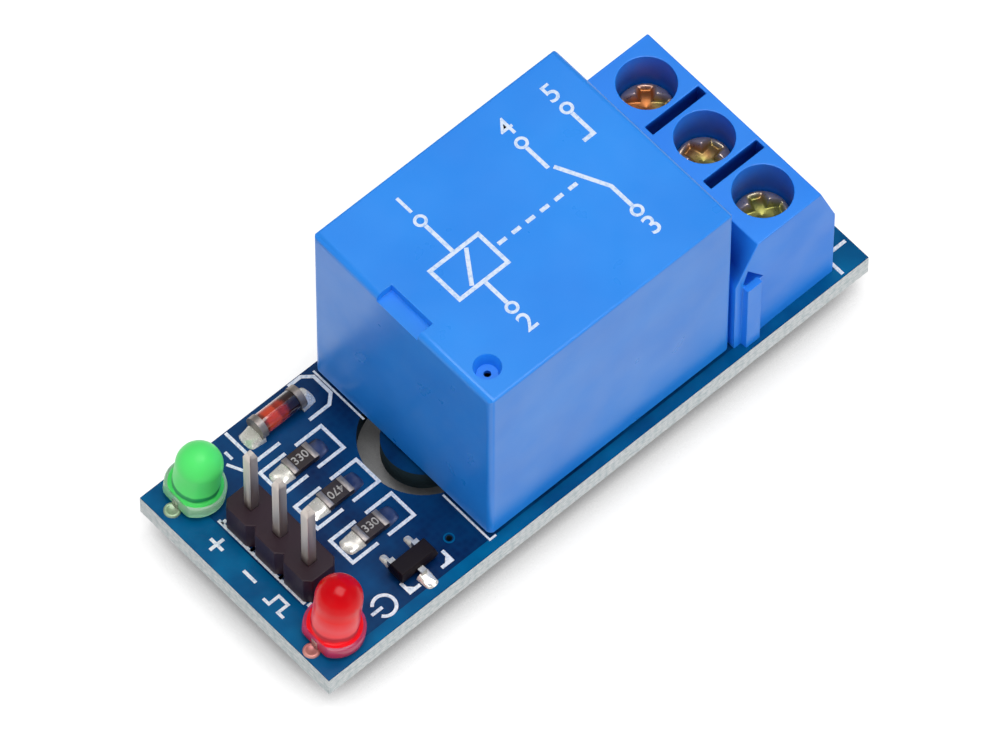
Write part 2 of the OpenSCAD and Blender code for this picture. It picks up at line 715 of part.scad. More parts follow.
// Upright outline of a box with its two top corners rounded, centred on X
module arched_outline(w, h, r) {
    translate([-w / 2, 0]) square([w, h - r]);
    translate([r - w / 2, 0]) square([w - 2 * r, h]);
    for (side = [-1, 1]) translate([side * (w / 2 - r), h - r]) circle(r = r);
}
module rounded_outline(l, w, r) {
    square([l - 2 * r, w], center = true);
    square([l, w - 2 * r], center = true);
    for (x = [-1, 1], y = [-1, 1]) translate([x * (l / 2 - r), y * (w / 2 - r)]) circle(r = r);
}
module relay_cover() {
    case_h = relay_h - rim_gap;
    vent_floor = relay_h - vent_depth;
    color("royalblue") in_relay() difference() {
        translate([relay_l / 2, 0, rim_gap]) intersection() {
            linear_extrude(case_h) rounded_outline(relay_l, relay_w, corner_r);
            along_y(relay_w) arched_outline(relay_l, case_h, end_edge_r);
            translate([-relay_l / 2, 0, 0]) along_x(relay_l) arched_outline(relay_w, case_h, side_edge_r);
        }
        inside_cover(0, cover_roof);
        translate([0, notch_y, 0])
            block([-eps, -notch_w / 2, relay_h - notch_d], [notch_l, notch_w / 2, relay_h + eps]);
        translate([vent_inset, vent_y, 0]) {
            translate([0, 0, vent_floor]) cylinder(d1 = vent_floor_d, d2 = vent_d, h = vent_depth + eps);
            translate([0, 0, cover_roof - eps]) cylinder(d = vent_hole_d, h = cover_top);
        }
    }
}

module inside_cover(z0, z1) {
    half_w = relay_w / 2 - cover_wall;
    block([cover_wall, -half_w, z0], [relay_l - cover_wall, half_w, z1]);
}
// Sheet that fills the cover's inside between two heights, with the pins let through
module case_sheet(z0, z1) {
    difference() {
        in_relay() inside_cover(z0, z1);
        at_relay_pins() block([-$pin_l / 2, -$pin_w / 2, 0], [$pin_l / 2, $pin_w / 2, z1 + 1]);
    }
}
module feet(extra) {
    foot_y = relay_w / 2 - foot_side_inset;
    for (x = [foot_inset, relay_l - foot_inset], y = [-foot_y, foot_y])
        at_relay_pin(x, y) cylinder(d = foot_d + extra, h = seal_top + eps);
}
module relay_seal() {
    color("dimgray") difference() {
        case_sheet(rim_gap, seal_top);
        feet(2 * seat_gap);
    }
}
module relay_base() {
    wall_w = pin_span + flat_pin_w;
    wall_x = contact_pin_x + contact_pin_t / 2;
    color("black") {
        case_sheet(seal_top, base_top);
        feet(0);
        in_relay() block(
            [wall_x, -wall_w / 2, base_top - eps],
            [wall_x + post_wall_t, wall_w / 2, nc_face + fixed_contact_t]);
    }
}

// ---- Magnet ----

module relay_yoke() {
    color("lightsteelblue") in_relay() difference() {
        along_y(yoke_w) polygon([
            [yoke_x, base_top], [flange_end, base_top], [flange_end, yoke_floor],
            [yoke_x + yoke_t, yoke_floor], [yoke_x + yoke_t, yoke_top], [yoke_x, yoke_top]
        ]);
        translate([core_x, 0, base_top - eps])
            cylinder(d = core_rivet_d + 2 * seat_gap, h = yoke_t + 2 * eps);
    }
}
module relay_core() {
    color("silver") in_relay() translate([core_x, 0, 0]) {
        translate([0, 0, base_top]) cylinder(d = core_rivet_d, h = yoke_t + eps);
        translate([0, 0, yoke_floor]) cylinder(d = core_d, h = core_top - yoke_floor);
        translate([0, 0, bobbin_top]) cylinder(d = core_head_d, h = core_head_t);
    }
}
module relay_bobbin() {
    ear_w = pin_span + 2 * coil_pin_w;
    ear_end = coil_pin_x + coil_pin_w;
    color("white") difference() {
        in_relay() {
            for (z = [yoke_floor, bobbin_top - flange_t])
                block([flange_start, -flange_w / 2, z], [flange_end, flange_w / 2, z + flange_t]);
            block([flange_start, -ear_w / 2, yoke_floor], [ear_end, ear_w / 2, yoke_floor + flange_t]);
            translate([core_x, 0, yoke_floor]) cylinder(d = tube_d, h = bobbin_top - yoke_floor);
        }
        at_relay_pin(core_x, 0) translate([0, 0, yoke_floor - eps])
            cylinder(d = core_d + 2 * seat_gap, h = bobbin_top);
        coil_pins();
    }
}
module relay_coil() {
    color("chocolate") in_relay() translate([core_x, 0, yoke_floor + flange_t]) difference() {
        cylinder(d = coil_d, h = coil_h);
        translate([0, 0, -eps]) cylinder(d = tube_d + 2 * seat_gap, h = coil_h + 2 * eps);
    }
}
module coil_pins() {
    post_top = yoke_floor + flange_t + post_h;
    color("silver") for (y = [-pin_span / 2, pin_span / 2]) at_relay_pin(coil_pin_x, y)
        tapered_pin(coil_pin_w, coil_pin_w, -board_top, post_top, coil_pin_w / 2);
}
module relay_armature() {
    nose = armature_w * 0.15;
    half_w = armature_w / 2;
    color("lightsteelblue") in_relay() opened() translate([yoke_x, 0, pivot_z]) linear_extrude(armature_t)
        polygon([
            [0, -half_w], [armature_l - nose, -half_w], [armature_l, nose - half_w],
            [armature_l, half_w - nose], [armature_l - nose, half_w], [0, half_w]
        ]);
}

// ---- Contacts ----

// One bent strip: its leg stands by the yoke's back, its blade lies on the armature
module leaf_spring() {
    leg_gap = armature_t * sin(travel_angle) + seat_gap;
    leg_front = yoke_x - leg_gap;
    leg_back = leg_front - leaf_t;
    leg_foot = pivot_z - leaf_leg;
    blade_top = armature_t + leaf_t;
    tip_x = yoke_x + contact_reach + loose_gap;
    taper_x = yoke_x + armature_l * 0.7;
    root_w = leaf_w / 2;
    tip_w = leaf_tip_w / 2;
    color("peru") in_relay() difference() {
        intersection() {
            along_y(leaf_w) polygon([
                [leg_back, leg_foot], [leg_front, leg_foot],
                [leg_front, open_plate_z(leg_front, armature_t)], [tip_x, open_plate_z(tip_x, armature_t)],
                [tip_x, open_plate_z(tip_x, blade_top)], [leg_back, open_plate_z(leg_back, blade_top)]
            ]);
            linear_extrude(relay_h) polygon([
                [0, -root_w], [taper_x, -root_w], [yoke_x + armature_l, -tip_w], [relay_l, -tip_w],
                [relay_l, tip_w], [yoke_x + armature_l, tip_w], [taper_x, root_w], [0, root_w]
            ]);
        }
        opened() translate([contact_x, 0, leaf_z - eps])
            cylinder(d = contact_rivet_d + 2 * seat_gap, h = leaf_t + 2 * eps);
    }
}
// Height at x of a face that lies t over the underside of the open armature
function open_plate_z(x, t) = pivot_z + t / cos(travel_angle) + (x - yoke_x) * tan(travel_angle);
module moving_contact() {
    color("gainsboro") in_relay() opened() translate([contact_x, 0, leaf_z]) {
        translate([0, 0, -moving_face_t]) cylinder(d = contact_d, h = moving_face_t);
        translate([0, 0, -eps]) cylinder(d = contact_rivet_d, h = leaf_t + 2 * eps);
        translate([0, 0, leaf_t]) cylinder(d = contact_d, h = moving_back_t);
    }
}
// Pin under a plate that lies against the yoke's back
module com_terminal() {
    plate_w = flat_pin_w * 3;
    plate_top = pivot_z - leaf_leg - loose_gap;
    color("darkgoldenrod") in_relay() {
        translate([com_inset, 0, 0]) {
            tapered_pin(com_pin_t, flat_pin_w, -board_top, base_top + com_pin_t, com_pin_t / 2);
            block([-com_pin_t / 2, -plate_w / 2, base_top], [com_pin_t / 2, plate_w / 2, plate_top]);
        }
    }
}
// Pin, upright plate and tongue of one fixed contact; side is -1 or 1, the tongue lies from z0 up
module contact_terminal(side, z0) {
    outer = (pin_span + flat_pin_w) / 2;
    inner = tongue_w / 2 + 3 * loose_gap;
    color("darkgoldenrod") in_relay() scale([1, side, 1]) {
        translate([contact_pin_x, pin_span / 2, 0])
            tapered_pin(contact_pin_t, flat_pin_w, -board_top, base_top + contact_pin_t, contact_pin_t / 2);
        translate([plate_x, 0, 0]) along_x(contact_pin_t) polygon([
            [outer, base_top], [outer, z0 + tongue_t], [-tongue_w / 2, z0 + tongue_t], [-tongue_w / 2, z0],
            [tongue_w / 2, z0], [inner, z0 - tongue_t], [inner, base_top]
        ]);
        block([contact_x - contact_d * 0.6, -tongue_w / 2, z0], [plate_x + eps, tongue_w / 2, z0 + tongue_t]);
    }
}
module no_terminal() contact_terminal(-1, no_face - fixed_contact_t - tongue_t);
module nc_terminal() contact_terminal(1, nc_face + fixed_contact_t);
module fixed_contact(z0) {
    color("gainsboro") in_relay() translate([contact_x, 0, z0]) cylinder(d = contact_d, h = fixed_contact_t);
}
module no_contact() fixed_contact(no_face - fixed_contact_t);
module nc_contact() fixed_contact(nc_face);

// ---- Terminal block ----

module terminal_housing() {
    half_l = block_l / 2;
    rail_end = rail_inset + rail_w;
    color("royalblue") translate([block_x, block_y, board_top]) difference() {
        union() {
            along_y(block_l) polygon([
                [0, 0], [block_d, 0], [block_d, front_knee], [block_d - front_slope, block_h],
                [back_slope, block_h], [0, back_knee]
            ]);
            block([rail_inset, -half_l - rail_t, 0], [rail_end, eps - half_l, rail_h]);
        }
        block(
            [rail_inset - loose_gap, half_l - rail_t - loose_gap, -eps],
            [rail_end + loose_gap, half_l + eps, rail_h + loose_gap]);
        translate([0, pocket_d / 2 - half_l, 0]) along_y(pocket_d + eps) polygon([
            [rail_inset, rail_h + 0.3], [rail_inset + 0.35, rail_h + 1.5],
            [rail_end + 0.5, rail_h - 0.4], [rail_inset + 0.5, rail_h - 0.4]
        ]);
        for (i = [1:3]) translate([0, (i - 2) * pole_pitch, 0]) pole_cut();
        for (side = [-1, 1]) translate([screw_inset, side * pole_pitch / 2, 0]) block(
            [-divider_l / 2, -divider_w / 2, block_h - divider_d],
            [divider_l / 2, divider_w / 2, block_h + eps]);
    }
}
// Chamber for the clamp, bore for the screwdriver, and flared entry for the wire
module pole_cut() {
    chamber_w = frame_w + 2 * loose_gap;
    block([frame_back - loose_gap, -chamber_w / 2, -eps], [chamber_front, chamber_w / 2, chamber_top]);
    translate([screw_inset, 0, 0]) cylinder(d = screw_head_d + 2 * head_gap, h = block_h + eps);
    block(
        [chamber_front - eps, -entry_w / 2, entry_sill],
        [block_d + eps, entry_w / 2, entry_sill + entry_h]);
    intersection() {
        along_y(entry_w + 2 * flare) polygon([
            [block_d - flare, entry_sill], [block_d + eps, entry_sill - flare],
            [block_d + eps, entry_sill + entry_h + flare], [block_d - flare, entry_sill + entry_h]
        ]);
        linear_extrude(block_h) polygon([
            [block_d - flare, -entry_w / 2], [block_d + eps, -entry_w / 2 - flare],
            [block_d + eps, entry_w / 2 + flare], [block_d - flare, entry_w / 2]
        ]);
    }
}

// Square tube with a threaded top, standing on its board pin
module clamp_frame(i) {
    floor_top = frame_gap + frame_floor_t;
    window_top = frame_top - frame_top_t;
    color("silver") in_block(i) {
        difference() {
            block([frame_back, -frame_w / 2, frame_gap], [frame_front, frame_w / 2, frame_top]);
            block([0, -frame_inner_w / 2, floor_top], [block_d, frame_inner_w / 2, window_top]);
            translate([screw_inset, 0, window_top - eps])
                cylinder(d = screw_d + 2 * air_gap, h = frame_top_t + 2 * eps);
        }
        translate([screw_inset - pin_setback, 0, 0])
            tapered_pin(frame_pin_w, frame_pin_w, -board_top, frame_gap + frame_pin_w / 3, frame_pin_w / 3);
    }
}
// Folded strip: its leaf lies in the frame under the screw, its lip turns up in front
module wire_guard(i) {
    lip_x = frame_front + air_gap;
    lip_top = chamber_top - loose_gap - screw_travel;
    leaf_half_w = frame_inner_w / 2 - loose_gap;
    color("silver") in_block(i) {
        block([frame_back, -leaf_half_w, guard_z], [lip_x + guard_t, leaf_half_w, guard_top]);
        block([lip_x, -guard_lip_w / 2, guard_z], [lip_x + guard_t, guard_lip_w / 2, lip_top]);
    }
}
module terminal_screw(i) {
    head_z = screw_top - screw_head_h;
    half_l = recess_l / 2;
    half_w = recess_w / 2;
    color("gold") in_block(i) translate([screw_inset, 0, 0]) difference() {
        union() {
            translate([0, 0, head_z]) cylinder(d = screw_head_d, h = screw_head_h);
            translate([0, 0, guard_top + seat_gap]) cylinder(d = screw_d, h = head_z - guard_top);
        }
        for (turn = [45, 135]) rotate([0, 0, turn])
            block([-half_l, -half_w, screw_top - recess_d], [half_l, half_w, screw_top + eps]);
    }
}

pcb();
relay_solder();
terminal_solder();
header_solder();
led_solder();
smd_solder();
header_housing();
header_pin(1);  // header_pin_1
header_pin(2);  // header_pin_2
header_pin(3);  // header_pin_3
green_led_lens();
green_led_leads();
red_led_lens();
red_led_leads();
resistor_body(1);  // resistor_1_body
resistor_caps(1);  // resistor_1_caps
resistor_body(2);  // resistor_2_body
resistor_caps(2);  // resistor_2_caps
resistor_body(3);  // resistor_3_body
resistor_caps(3);  // resistor_3_caps
diode_glass();
diode_caps();
diode_die();
transistor_body();
transistor_leads();
relay_cover();
relay_base();
relay_seal();
relay_yoke();
relay_core();
relay_bobbin();
relay_coil();
coil_pins();
relay_armature();
leaf_spring();
moving_contact();
com_terminal();
no_terminal();
no_contact();
nc_terminal();
nc_contact();
terminal_housing();
clamp_frame(1);  // clamp_frame_1
clamp_frame(2);  // clamp_frame_2
clamp_frame(3);  // clamp_frame_3
wire_guard(1);  // wire_guard_1
wire_guard(2);  // wire_guard_2
wire_guard(3);  // wire_guard_3
terminal_screw(1);  // terminal_screw_1
terminal_screw(2);  // terminal_screw_2
terminal_screw(3);  // terminal_screw_3
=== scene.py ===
"""Looks of a relay module board: solder-masked board, relay, lamps, header, chip parts and terminal block."""
import json
import math

import bmesh
import bpy
from mathutils import Matrix, Vector

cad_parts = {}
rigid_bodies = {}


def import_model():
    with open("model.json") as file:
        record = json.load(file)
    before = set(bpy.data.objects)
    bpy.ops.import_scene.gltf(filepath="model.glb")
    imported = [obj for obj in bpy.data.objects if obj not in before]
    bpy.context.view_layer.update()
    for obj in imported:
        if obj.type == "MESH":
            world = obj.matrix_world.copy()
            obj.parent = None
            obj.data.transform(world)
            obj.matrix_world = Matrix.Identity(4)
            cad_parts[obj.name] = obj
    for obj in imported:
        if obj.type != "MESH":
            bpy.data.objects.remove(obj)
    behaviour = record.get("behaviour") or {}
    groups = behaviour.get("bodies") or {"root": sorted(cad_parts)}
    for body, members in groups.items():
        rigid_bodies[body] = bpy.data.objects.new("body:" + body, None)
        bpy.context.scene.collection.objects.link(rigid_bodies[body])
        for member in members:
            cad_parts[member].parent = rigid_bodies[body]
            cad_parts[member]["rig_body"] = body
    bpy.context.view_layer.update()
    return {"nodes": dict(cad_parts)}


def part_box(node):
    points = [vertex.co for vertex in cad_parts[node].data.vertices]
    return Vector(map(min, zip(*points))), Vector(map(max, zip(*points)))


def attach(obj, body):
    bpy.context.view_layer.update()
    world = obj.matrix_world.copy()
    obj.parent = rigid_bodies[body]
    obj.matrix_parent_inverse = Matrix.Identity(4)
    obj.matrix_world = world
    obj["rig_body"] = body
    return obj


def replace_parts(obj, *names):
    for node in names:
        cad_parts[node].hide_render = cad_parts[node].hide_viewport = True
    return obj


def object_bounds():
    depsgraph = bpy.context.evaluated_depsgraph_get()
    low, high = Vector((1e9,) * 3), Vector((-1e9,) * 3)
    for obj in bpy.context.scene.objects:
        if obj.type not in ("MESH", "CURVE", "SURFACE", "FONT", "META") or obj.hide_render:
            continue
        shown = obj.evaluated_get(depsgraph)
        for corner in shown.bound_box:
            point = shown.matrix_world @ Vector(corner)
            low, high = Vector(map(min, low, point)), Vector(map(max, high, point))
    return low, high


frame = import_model()

MM = 0.001
NODES = frame["nodes"]


# ---------------------------------------------------------------- materials

def srgb(text):
    """The linear colour, fully opaque, of an sRGB hex value."""
    parts = [int(text[i:i + 2], 16) / 255 for i in (1, 3, 5)]
    return tuple(p / 12.92 if p <= 0.04045 else ((p + 0.055) / 1.055) ** 2.4 for p in parts) + (1.0,)


def add(tree, kind, inputs=(), out=0, stops=(), **settings):
    """Adds one node and gives its output socket. inputs maps a socket to a constant or to the socket that
    feeds it, stops are a colour ramp's places and sRGB hex colours, and settings are the node's own."""
    node = tree.nodes.new("ShaderNode" + kind)
    for name, value in settings.items():
        setattr(node, name, value)
    for name, value in dict(inputs).items():
        if isinstance(value, bpy.types.NodeSocket):
            tree.links.new(value, node.inputs[name])
        else:
            node.inputs[name].default_value = value
    if stops:
        elements = node.color_ramp.elements
        while len(elements) < len(stops):
            elements.new(1.0)
        for element, (place, colour) in zip(elements, stops):
            element.position, element.color = place, srgb(colour)
    return node.outputs[out]


def finish(name, **constants):
    """A new material with constants on its shader's own sockets. Gives the material, its tree, its shader,
    and object coordinates in millimetres."""
    material = bpy.data.materials.new(name)
    material.use_nodes = True
    tree = material.node_tree
    shader = tree.nodes["Principled BSDF"]
    for key, value in constants.items():
        shader.inputs[key.replace("_", " ")].default_value = value
    mm = add(tree, "Mapping", {"Vector": add(tree, "TexCoord", out="Object"), "Scale": (1 / MM,) * 3})
    return material, tree, shader, mm


def join(tree, shader, **fed):
    """Links sockets to the shader's inputs."""
    for key, socket in fed.items():
        tree.links.new(socket, shader.inputs[key.replace("_", " ")])


def solder_mask():
    """Glossy navy epoxy solder mask printed over glass cloth, on a sawn board whose edges show the pale
    glass."""
    material, tree, shader, mm = finish("navy_solder_mask", IOR=1.5, Specular_IOR_Level=0.25)
    upright = add(tree, "SeparateXYZ", {0: add(tree, "TexCoord", out="Normal")}, "Z")
    face = add(tree, "MapRange", {"Value": add(tree, "Math", {0: upright}, operation="ABSOLUTE"),
                                  "From Min": 0.4, "From Max": 0.6}, "Result")
    # glass cloth under the mask: bundles 0.45 mm apart each way
    cloth = add(tree, "TexVoronoi", {"Vector": mm, "Scale": 1 / 0.45, "Randomness": 0.35}, "Distance")
    cloudy = add(tree, "TexNoise", {"Vector": mm, "Scale": 1 / 4.0, "Detail": 3.0}, "Fac")
    mottle = add(tree, "ValToRGB", {0: cloudy}, stops=((0.36, "#031F4C"), (0.68, "#03467A")))
    thin = add(tree, "MapRange", {"Value": cloth, "From Max": 0.6, "To Max": 0.12}, "Result")
    mask = add(tree, "Mix", {0: thin, 6: mottle, 7: srgb("#07548C")}, 2, data_type="RGBA")
    # sawn edge: bundles seen end on, 0.5 mm along and 0.2 mm high, in pale resin
    flattened = add(tree, "Mapping", {"Vector": mm, "Scale": (1.0, 1.0, 2.4)})
    ends = add(tree, "TexVoronoi", {"Vector": flattened, "Scale": 1 / 0.5, "Randomness": 0.6}, "Distance")
    bundles = add(tree, "ValToRGB", {0: ends},
                  stops=((0.10, "#FDFEFE"), (0.42, "#E6ECEC"), (0.75, "#C2D0D2")))
    torn = add(tree, "TexNoise", {"Vector": mm, "Scale": 1 / 0.12, "Detail": 2.0}, "Fac")
    fibres = add(tree, "ValToRGB", {0: torn}, stops=((0.3, "#CEDADC"), (0.7, "#FFFFFF")))
    sawn = add(tree, "Mix", {0: 0.4, 6: bundles, 7: fibres}, 2, data_type="RGBA")
    ripple = add(tree, "TexNoise", {"Vector": mm, "Scale": 1 / 0.8, "Detail": 2.0}, "Fac")
    calm = add(tree, "MapRange", {"Value": ripple, "To Min": 0.4, "To Max": 0.6}, "Result")
    relief = add(tree, "Mix", {0: face, 2: ends, 3: calm})
    # the routed slot and the bores are dark inside: a painted shade on their walls
    wide, deep = BOARD_HIGH.x - 0.5, BOARD_HIGH.y - 0.2
    away = [add(tree, "Math", {0: add(tree, "SeparateXYZ", {0: mm}, way)}, operation="ABSOLUTE")
            for way in ("X", "Y")]
    inner = add(tree, "Math", {0: add(tree, "Math", {0: away[0], 1: wide}, operation="LESS_THAN"),
                               1: add(tree, "Math", {0: away[1], 1: deep}, operation="LESS_THAN")},
                operation="MULTIPLY")
    # 2C4048 is painted shade on the walls inside the board's rim
    sawn = add(tree, "Mix", {0: inner, 6: sawn, 7: srgb("#2C4048")}, 2, data_type="RGBA")
    join(tree, shader,
         Base_Color=add(tree, "Mix", {0: face, 6: sawn, 7: mask}, 2, data_type="RGBA"),
         Roughness=add(tree, "MapRange", {"Value": face, "To Min": 0.8, "To Max": 0.22}, "Result"),
         Normal=add(tree, "Bump", {"Height": relief, "Distance": 0.05 * MM, "Strength": 0.5}, "Normal"))
    return material


def masked_copper():
    """The same mask over bare copper: a little raised, greener and lighter than over the glass cloth."""
    material, tree, shader, mm = finish("solder_mask_over_copper", Roughness=0.2, IOR=1.5,
                                        Specular_IOR_Level=0.18)
    cloudy = add(tree, "TexNoise", {"Vector": mm, "Scale": 1 / 2.5, "Detail": 3.0}, "Fac")
    ripple = add(tree, "TexNoise", {"Vector": mm, "Scale": 1 / 0.6, "Detail": 2.0}, "Fac")
    join(tree, shader,
         Base_Color=add(tree, "ValToRGB", {0: cloudy}, stops=((0.3, "#004A7C"), (0.75, "#00679A"))),
         Normal=add(tree, "Bump", {"Height": ripple, "Distance": 0.02 * MM, "Strength": 0.4}, "Normal"))
    return material


def printed_ink(name, colour, shade):
    """Screen-printed epoxy ink: matt, thin at places so that the ground tints it, slightly ragged."""
    material, tree, shader, mm = finish(name, Roughness=0.55)
    cover = add(tree, "TexNoise", {"Vector": mm, "Scale": 1 / 0.22, "Detail": 3.0, "Roughness": 0.6}, "Fac")
    ragged = add(tree, "TexNoise", {"Vector": mm, "Scale": 1 / 0.15, "Detail": 2.0}, "Fac")
    join(tree, shader,
         Base_Color=add(tree, "ValToRGB", {0: cover}, stops=((0.28, shade), (0.55, colour))),
         Normal=add(tree, "Bump", {"Height": ragged, "Distance": 0.01 * MM, "Strength": 0.6}, "Normal"))
    return material


# the painted shade of a moulding starts at the first height and is full at the second, in mm, so that it
# stays in the bores and grooves of the top
SHADE_START, SHADE_FULL = 10.4, 11.4


def moulded(name, low, high, rough, grain_mm, depth_mm, deep="", shine=0.5):
    """Injection-moulded plastic: an even colour with slow flow marks, and the fine spark texture of the tool.
    The bores and grooves in its top can take a painted shade, darker than its open faces."""
    material, tree, shader, mm = finish(name, IOR=1.5, Specular_IOR_Level=shine)
    flow = add(tree, "TexNoise", {"Vector": mm, "Scale": 1 / 7.0, "Detail": 2.0}, "Fac")
    colour = add(tree, "ValToRGB", {0: flow}, stops=((0.3, low), (0.7, high)))
    # deep is the colour of a painted shade, laid where ambient occlusion finds little open air, above its
    # start height
    if deep:
        open_air = add(tree, "AmbientOcclusion", {"Distance": 3 * MM}, "AO", samples=4)
        height = add(tree, "SeparateXYZ", {0: mm}, "Z")
        low_down = add(tree, "MapRange", {"Value": height, "From Min": SHADE_START, "From Max": SHADE_FULL,
                                          "To Min": 1.0, "To Max": 0.0}, "Result")
        clear = add(tree, "MapRange", {"Value": open_air, "From Min": 0.30, "From Max": 0.62}, "Result")
        free_of_painted_shade = add(tree, "Math", {0: clear, 1: low_down}, operation="MAXIMUM")
        colour = add(tree, "Mix", {0: free_of_painted_shade, 6: srgb(deep), 7: colour}, 2, data_type="RGBA")
    polish = add(tree, "TexNoise", {"Vector": mm, "Scale": 1 / 2.5, "Detail": 3.0}, "Fac")
    spark = add(tree, "TexNoise", {"Vector": mm, "Scale": 1 / grain_mm, "Detail": 3.0, "Roughness": 0.6},
                "Fac")
    join(tree, shader, Base_Color=colour,
         Roughness=add(tree, "MapRange", {"Value": polish, "From Min": 0.3, "From Max": 0.7,
                                          "To Min": rough - 0.05, "To Max": rough + 0.07}, "Result"),
         Normal=add(tree, "Bump", {"Height": spark, "Distance": depth_mm * MM, "Strength": 0.6}, "Normal"))
    return material


def plated(name, low, high, rough, grain_mm, depth_mm, streak=(1, 1, 1), metal=1.0):
    """Plated or tinned metal: bright, faintly clouded, uneven as its coat is. The streak draws the pattern
    out along the way that the metal was rolled or drawn. Less metal stands for a frosted or fluxed skin."""
    material, tree, shader, mm = finish(name, Metallic=metal)
    drawn = add(tree, "Mapping", {"Vector": mm, "Scale": streak})
    cloudy = add(tree, "TexNoise", {"Vector": drawn, "Scale": 1 / (3 * grain_mm), "Detail": 3.0}, "Fac")
    grain = add(tree, "TexNoise", {"Vector": drawn, "Scale": 1 / grain_mm, "Detail": 2.0}, "Fac")
    join(tree, shader,
         Base_Color=add(tree, "ValToRGB", {0: cloudy}, stops=((0.3, low), (0.7, high))),
         Roughness=add(tree, "MapRange", {"Value": grain, "From Min": 0.3, "From Max": 0.7, "To Min": rough,
                                          "To Max": rough + 0.14}, "Result"),
         Normal=add(tree, "Bump", {"Height": grain, "Distance": depth_mm * MM, "Strength": 0.7}, "Normal"))
    return material


def passivated_screw():
    """Yellow passivated zinc: orange to olive in the recess, worn to pale zinc on the head. The layer named
    sunk says how far each point lies in the recess."""
    material, tree, shader, mm = finish("yellow_passivated_zinc", Metallic=0.7)
    bath = add(tree, "TexNoise", {"Vector": mm, "Scale": 1 / 1.4, "Detail": 2.0}, "Fac")
    # each screw left the bath a little different, so the tint drifts across the three
    row = add(tree, "SeparateXYZ", {0: mm}, "Y")
    shift = add(tree, "MapRange", {"Value": row, "From Min": -7.0, "From Max": 7.0, "To Min": 0.22,
                                   "To Max": -0.22}, "Result")
    level = add(tree, "Math", {0: bath, 1: shift}, operation="ADD")
    tint = add(tree, "ValToRGB", {0: level}, stops=((0.30, "#B8703A"), (0.50, "#A0834C"), (0.70, "#939048")))
    deep = add(tree, "Attribute", out="Fac", attribute_name="sunk")
    worn = add(tree, "MapRange", {"Value": deep, "From Max": 0.7, "To Min": 0.8, "To Max": 0.0}, "Result")
    grain = add(tree, "TexNoise", {"Vector": mm, "Scale": 1 / 0.3, "Detail": 2.0}, "Fac")
    join(tree, shader,
         Base_Color=add(tree, "Mix", {0: worn, 6: tint, 7: srgb("#E4D2CC")}, 2, data_type="RGBA"),
         Roughness=add(tree, "MapRange", {"Value": grain, "From Min": 0.3, "From Max": 0.7, "To Min": 0.26,
                                          "To Max": 0.40}, "Result"),
         Normal=add(tree, "Bump", {"Height": grain, "Distance": 0.003 * MM, "Strength": 0.6}, "Normal"))
    return material


def lens_epoxy(name, base, axis, top, through, rough, painted_glow, *bands):
    """Cast epoxy lens: dyed and hazed, polished by its mould, and given painted light of its own colour
    though the lamp is unlit. The bands give its colour along its axis, by height over its base in mm, with
    painted shade and painted reflections in them."""
    # the emission is painted light: the unlit lens gives off light of its own colour
    material, tree, shader, mm = finish(
        name, Roughness=rough, IOR=1.52, Specular_IOR_Level=0.2, Transmission_Weight=through,
        Subsurface_Weight=0.5, Subsurface_Radius=(1.0, 1.0, 1.0), Subsurface_Scale=0.3 * MM,
        Emission_Strength=painted_glow)
    from_base = add(tree, "VectorMath", {0: mm, 1: base}, operation="SUBTRACT")
    height = add(tree, "VectorMath", {0: from_base, 1: axis}, "Value", operation="DOT_PRODUCT")
    rise = add(tree, "MapRange", {"Value": height, "From Max": top}, "Result")
    haze = add(tree, "TexNoise", {"Vector": mm, "Scale": 1 / 1.2, "Detail": 2.0}, "Fac")
    drift = add(tree, "MapRange", {"Value": haze, "From Min": 0.3, "From Max": 0.7, "To Min": -0.015,
                                   "To Max": 0.015}, "Result")
    level = add(tree, "Math", {0: rise, 1: drift}, operation="ADD")
    flow = add(tree, "TexNoise", {"Vector": mm, "Scale": 1 / 0.7, "Detail": 2.0}, "Fac")
    # the bands lay painted shade and painted pale reflections over the dyed colour
    dye_and_painted_light = add(tree, "ValToRGB", {0: level}, stops=[(place / top, colour) for place, colour in bands])
    join(tree, shader, Base_Color=dye_and_painted_light, Emission_Color=dye_and_painted_light,
         Normal=add(tree, "Bump", {"Height": flow, "Distance": 0.01 * MM, "Strength": 0.3}, "Normal"))
    return material


def overcoat(name):
    """Printed glass overcoat: near black, glossy, with a faint brown cast."""
    material, tree, shader, mm = finish(name, Roughness=0.3)
    print_mark = add(tree, "TexNoise", {"Vector": mm, "Scale": 1 / 0.4, "Detail": 2.0}, "Fac")
    grain = add(tree, "TexNoise", {"Vector": mm, "Scale": 1 / 0.12, "Detail": 2.0}, "Fac")
    join(tree, shader,
         Base_Color=add(tree, "ValToRGB", {0: print_mark}, stops=((0.3, "#241A19"), (0.7, "#362927"))),
         Normal=add(tree, "Bump", {"Height": grain, "Distance": 0.008 * MM, "Strength": 0.5}, "Normal"))
    return material


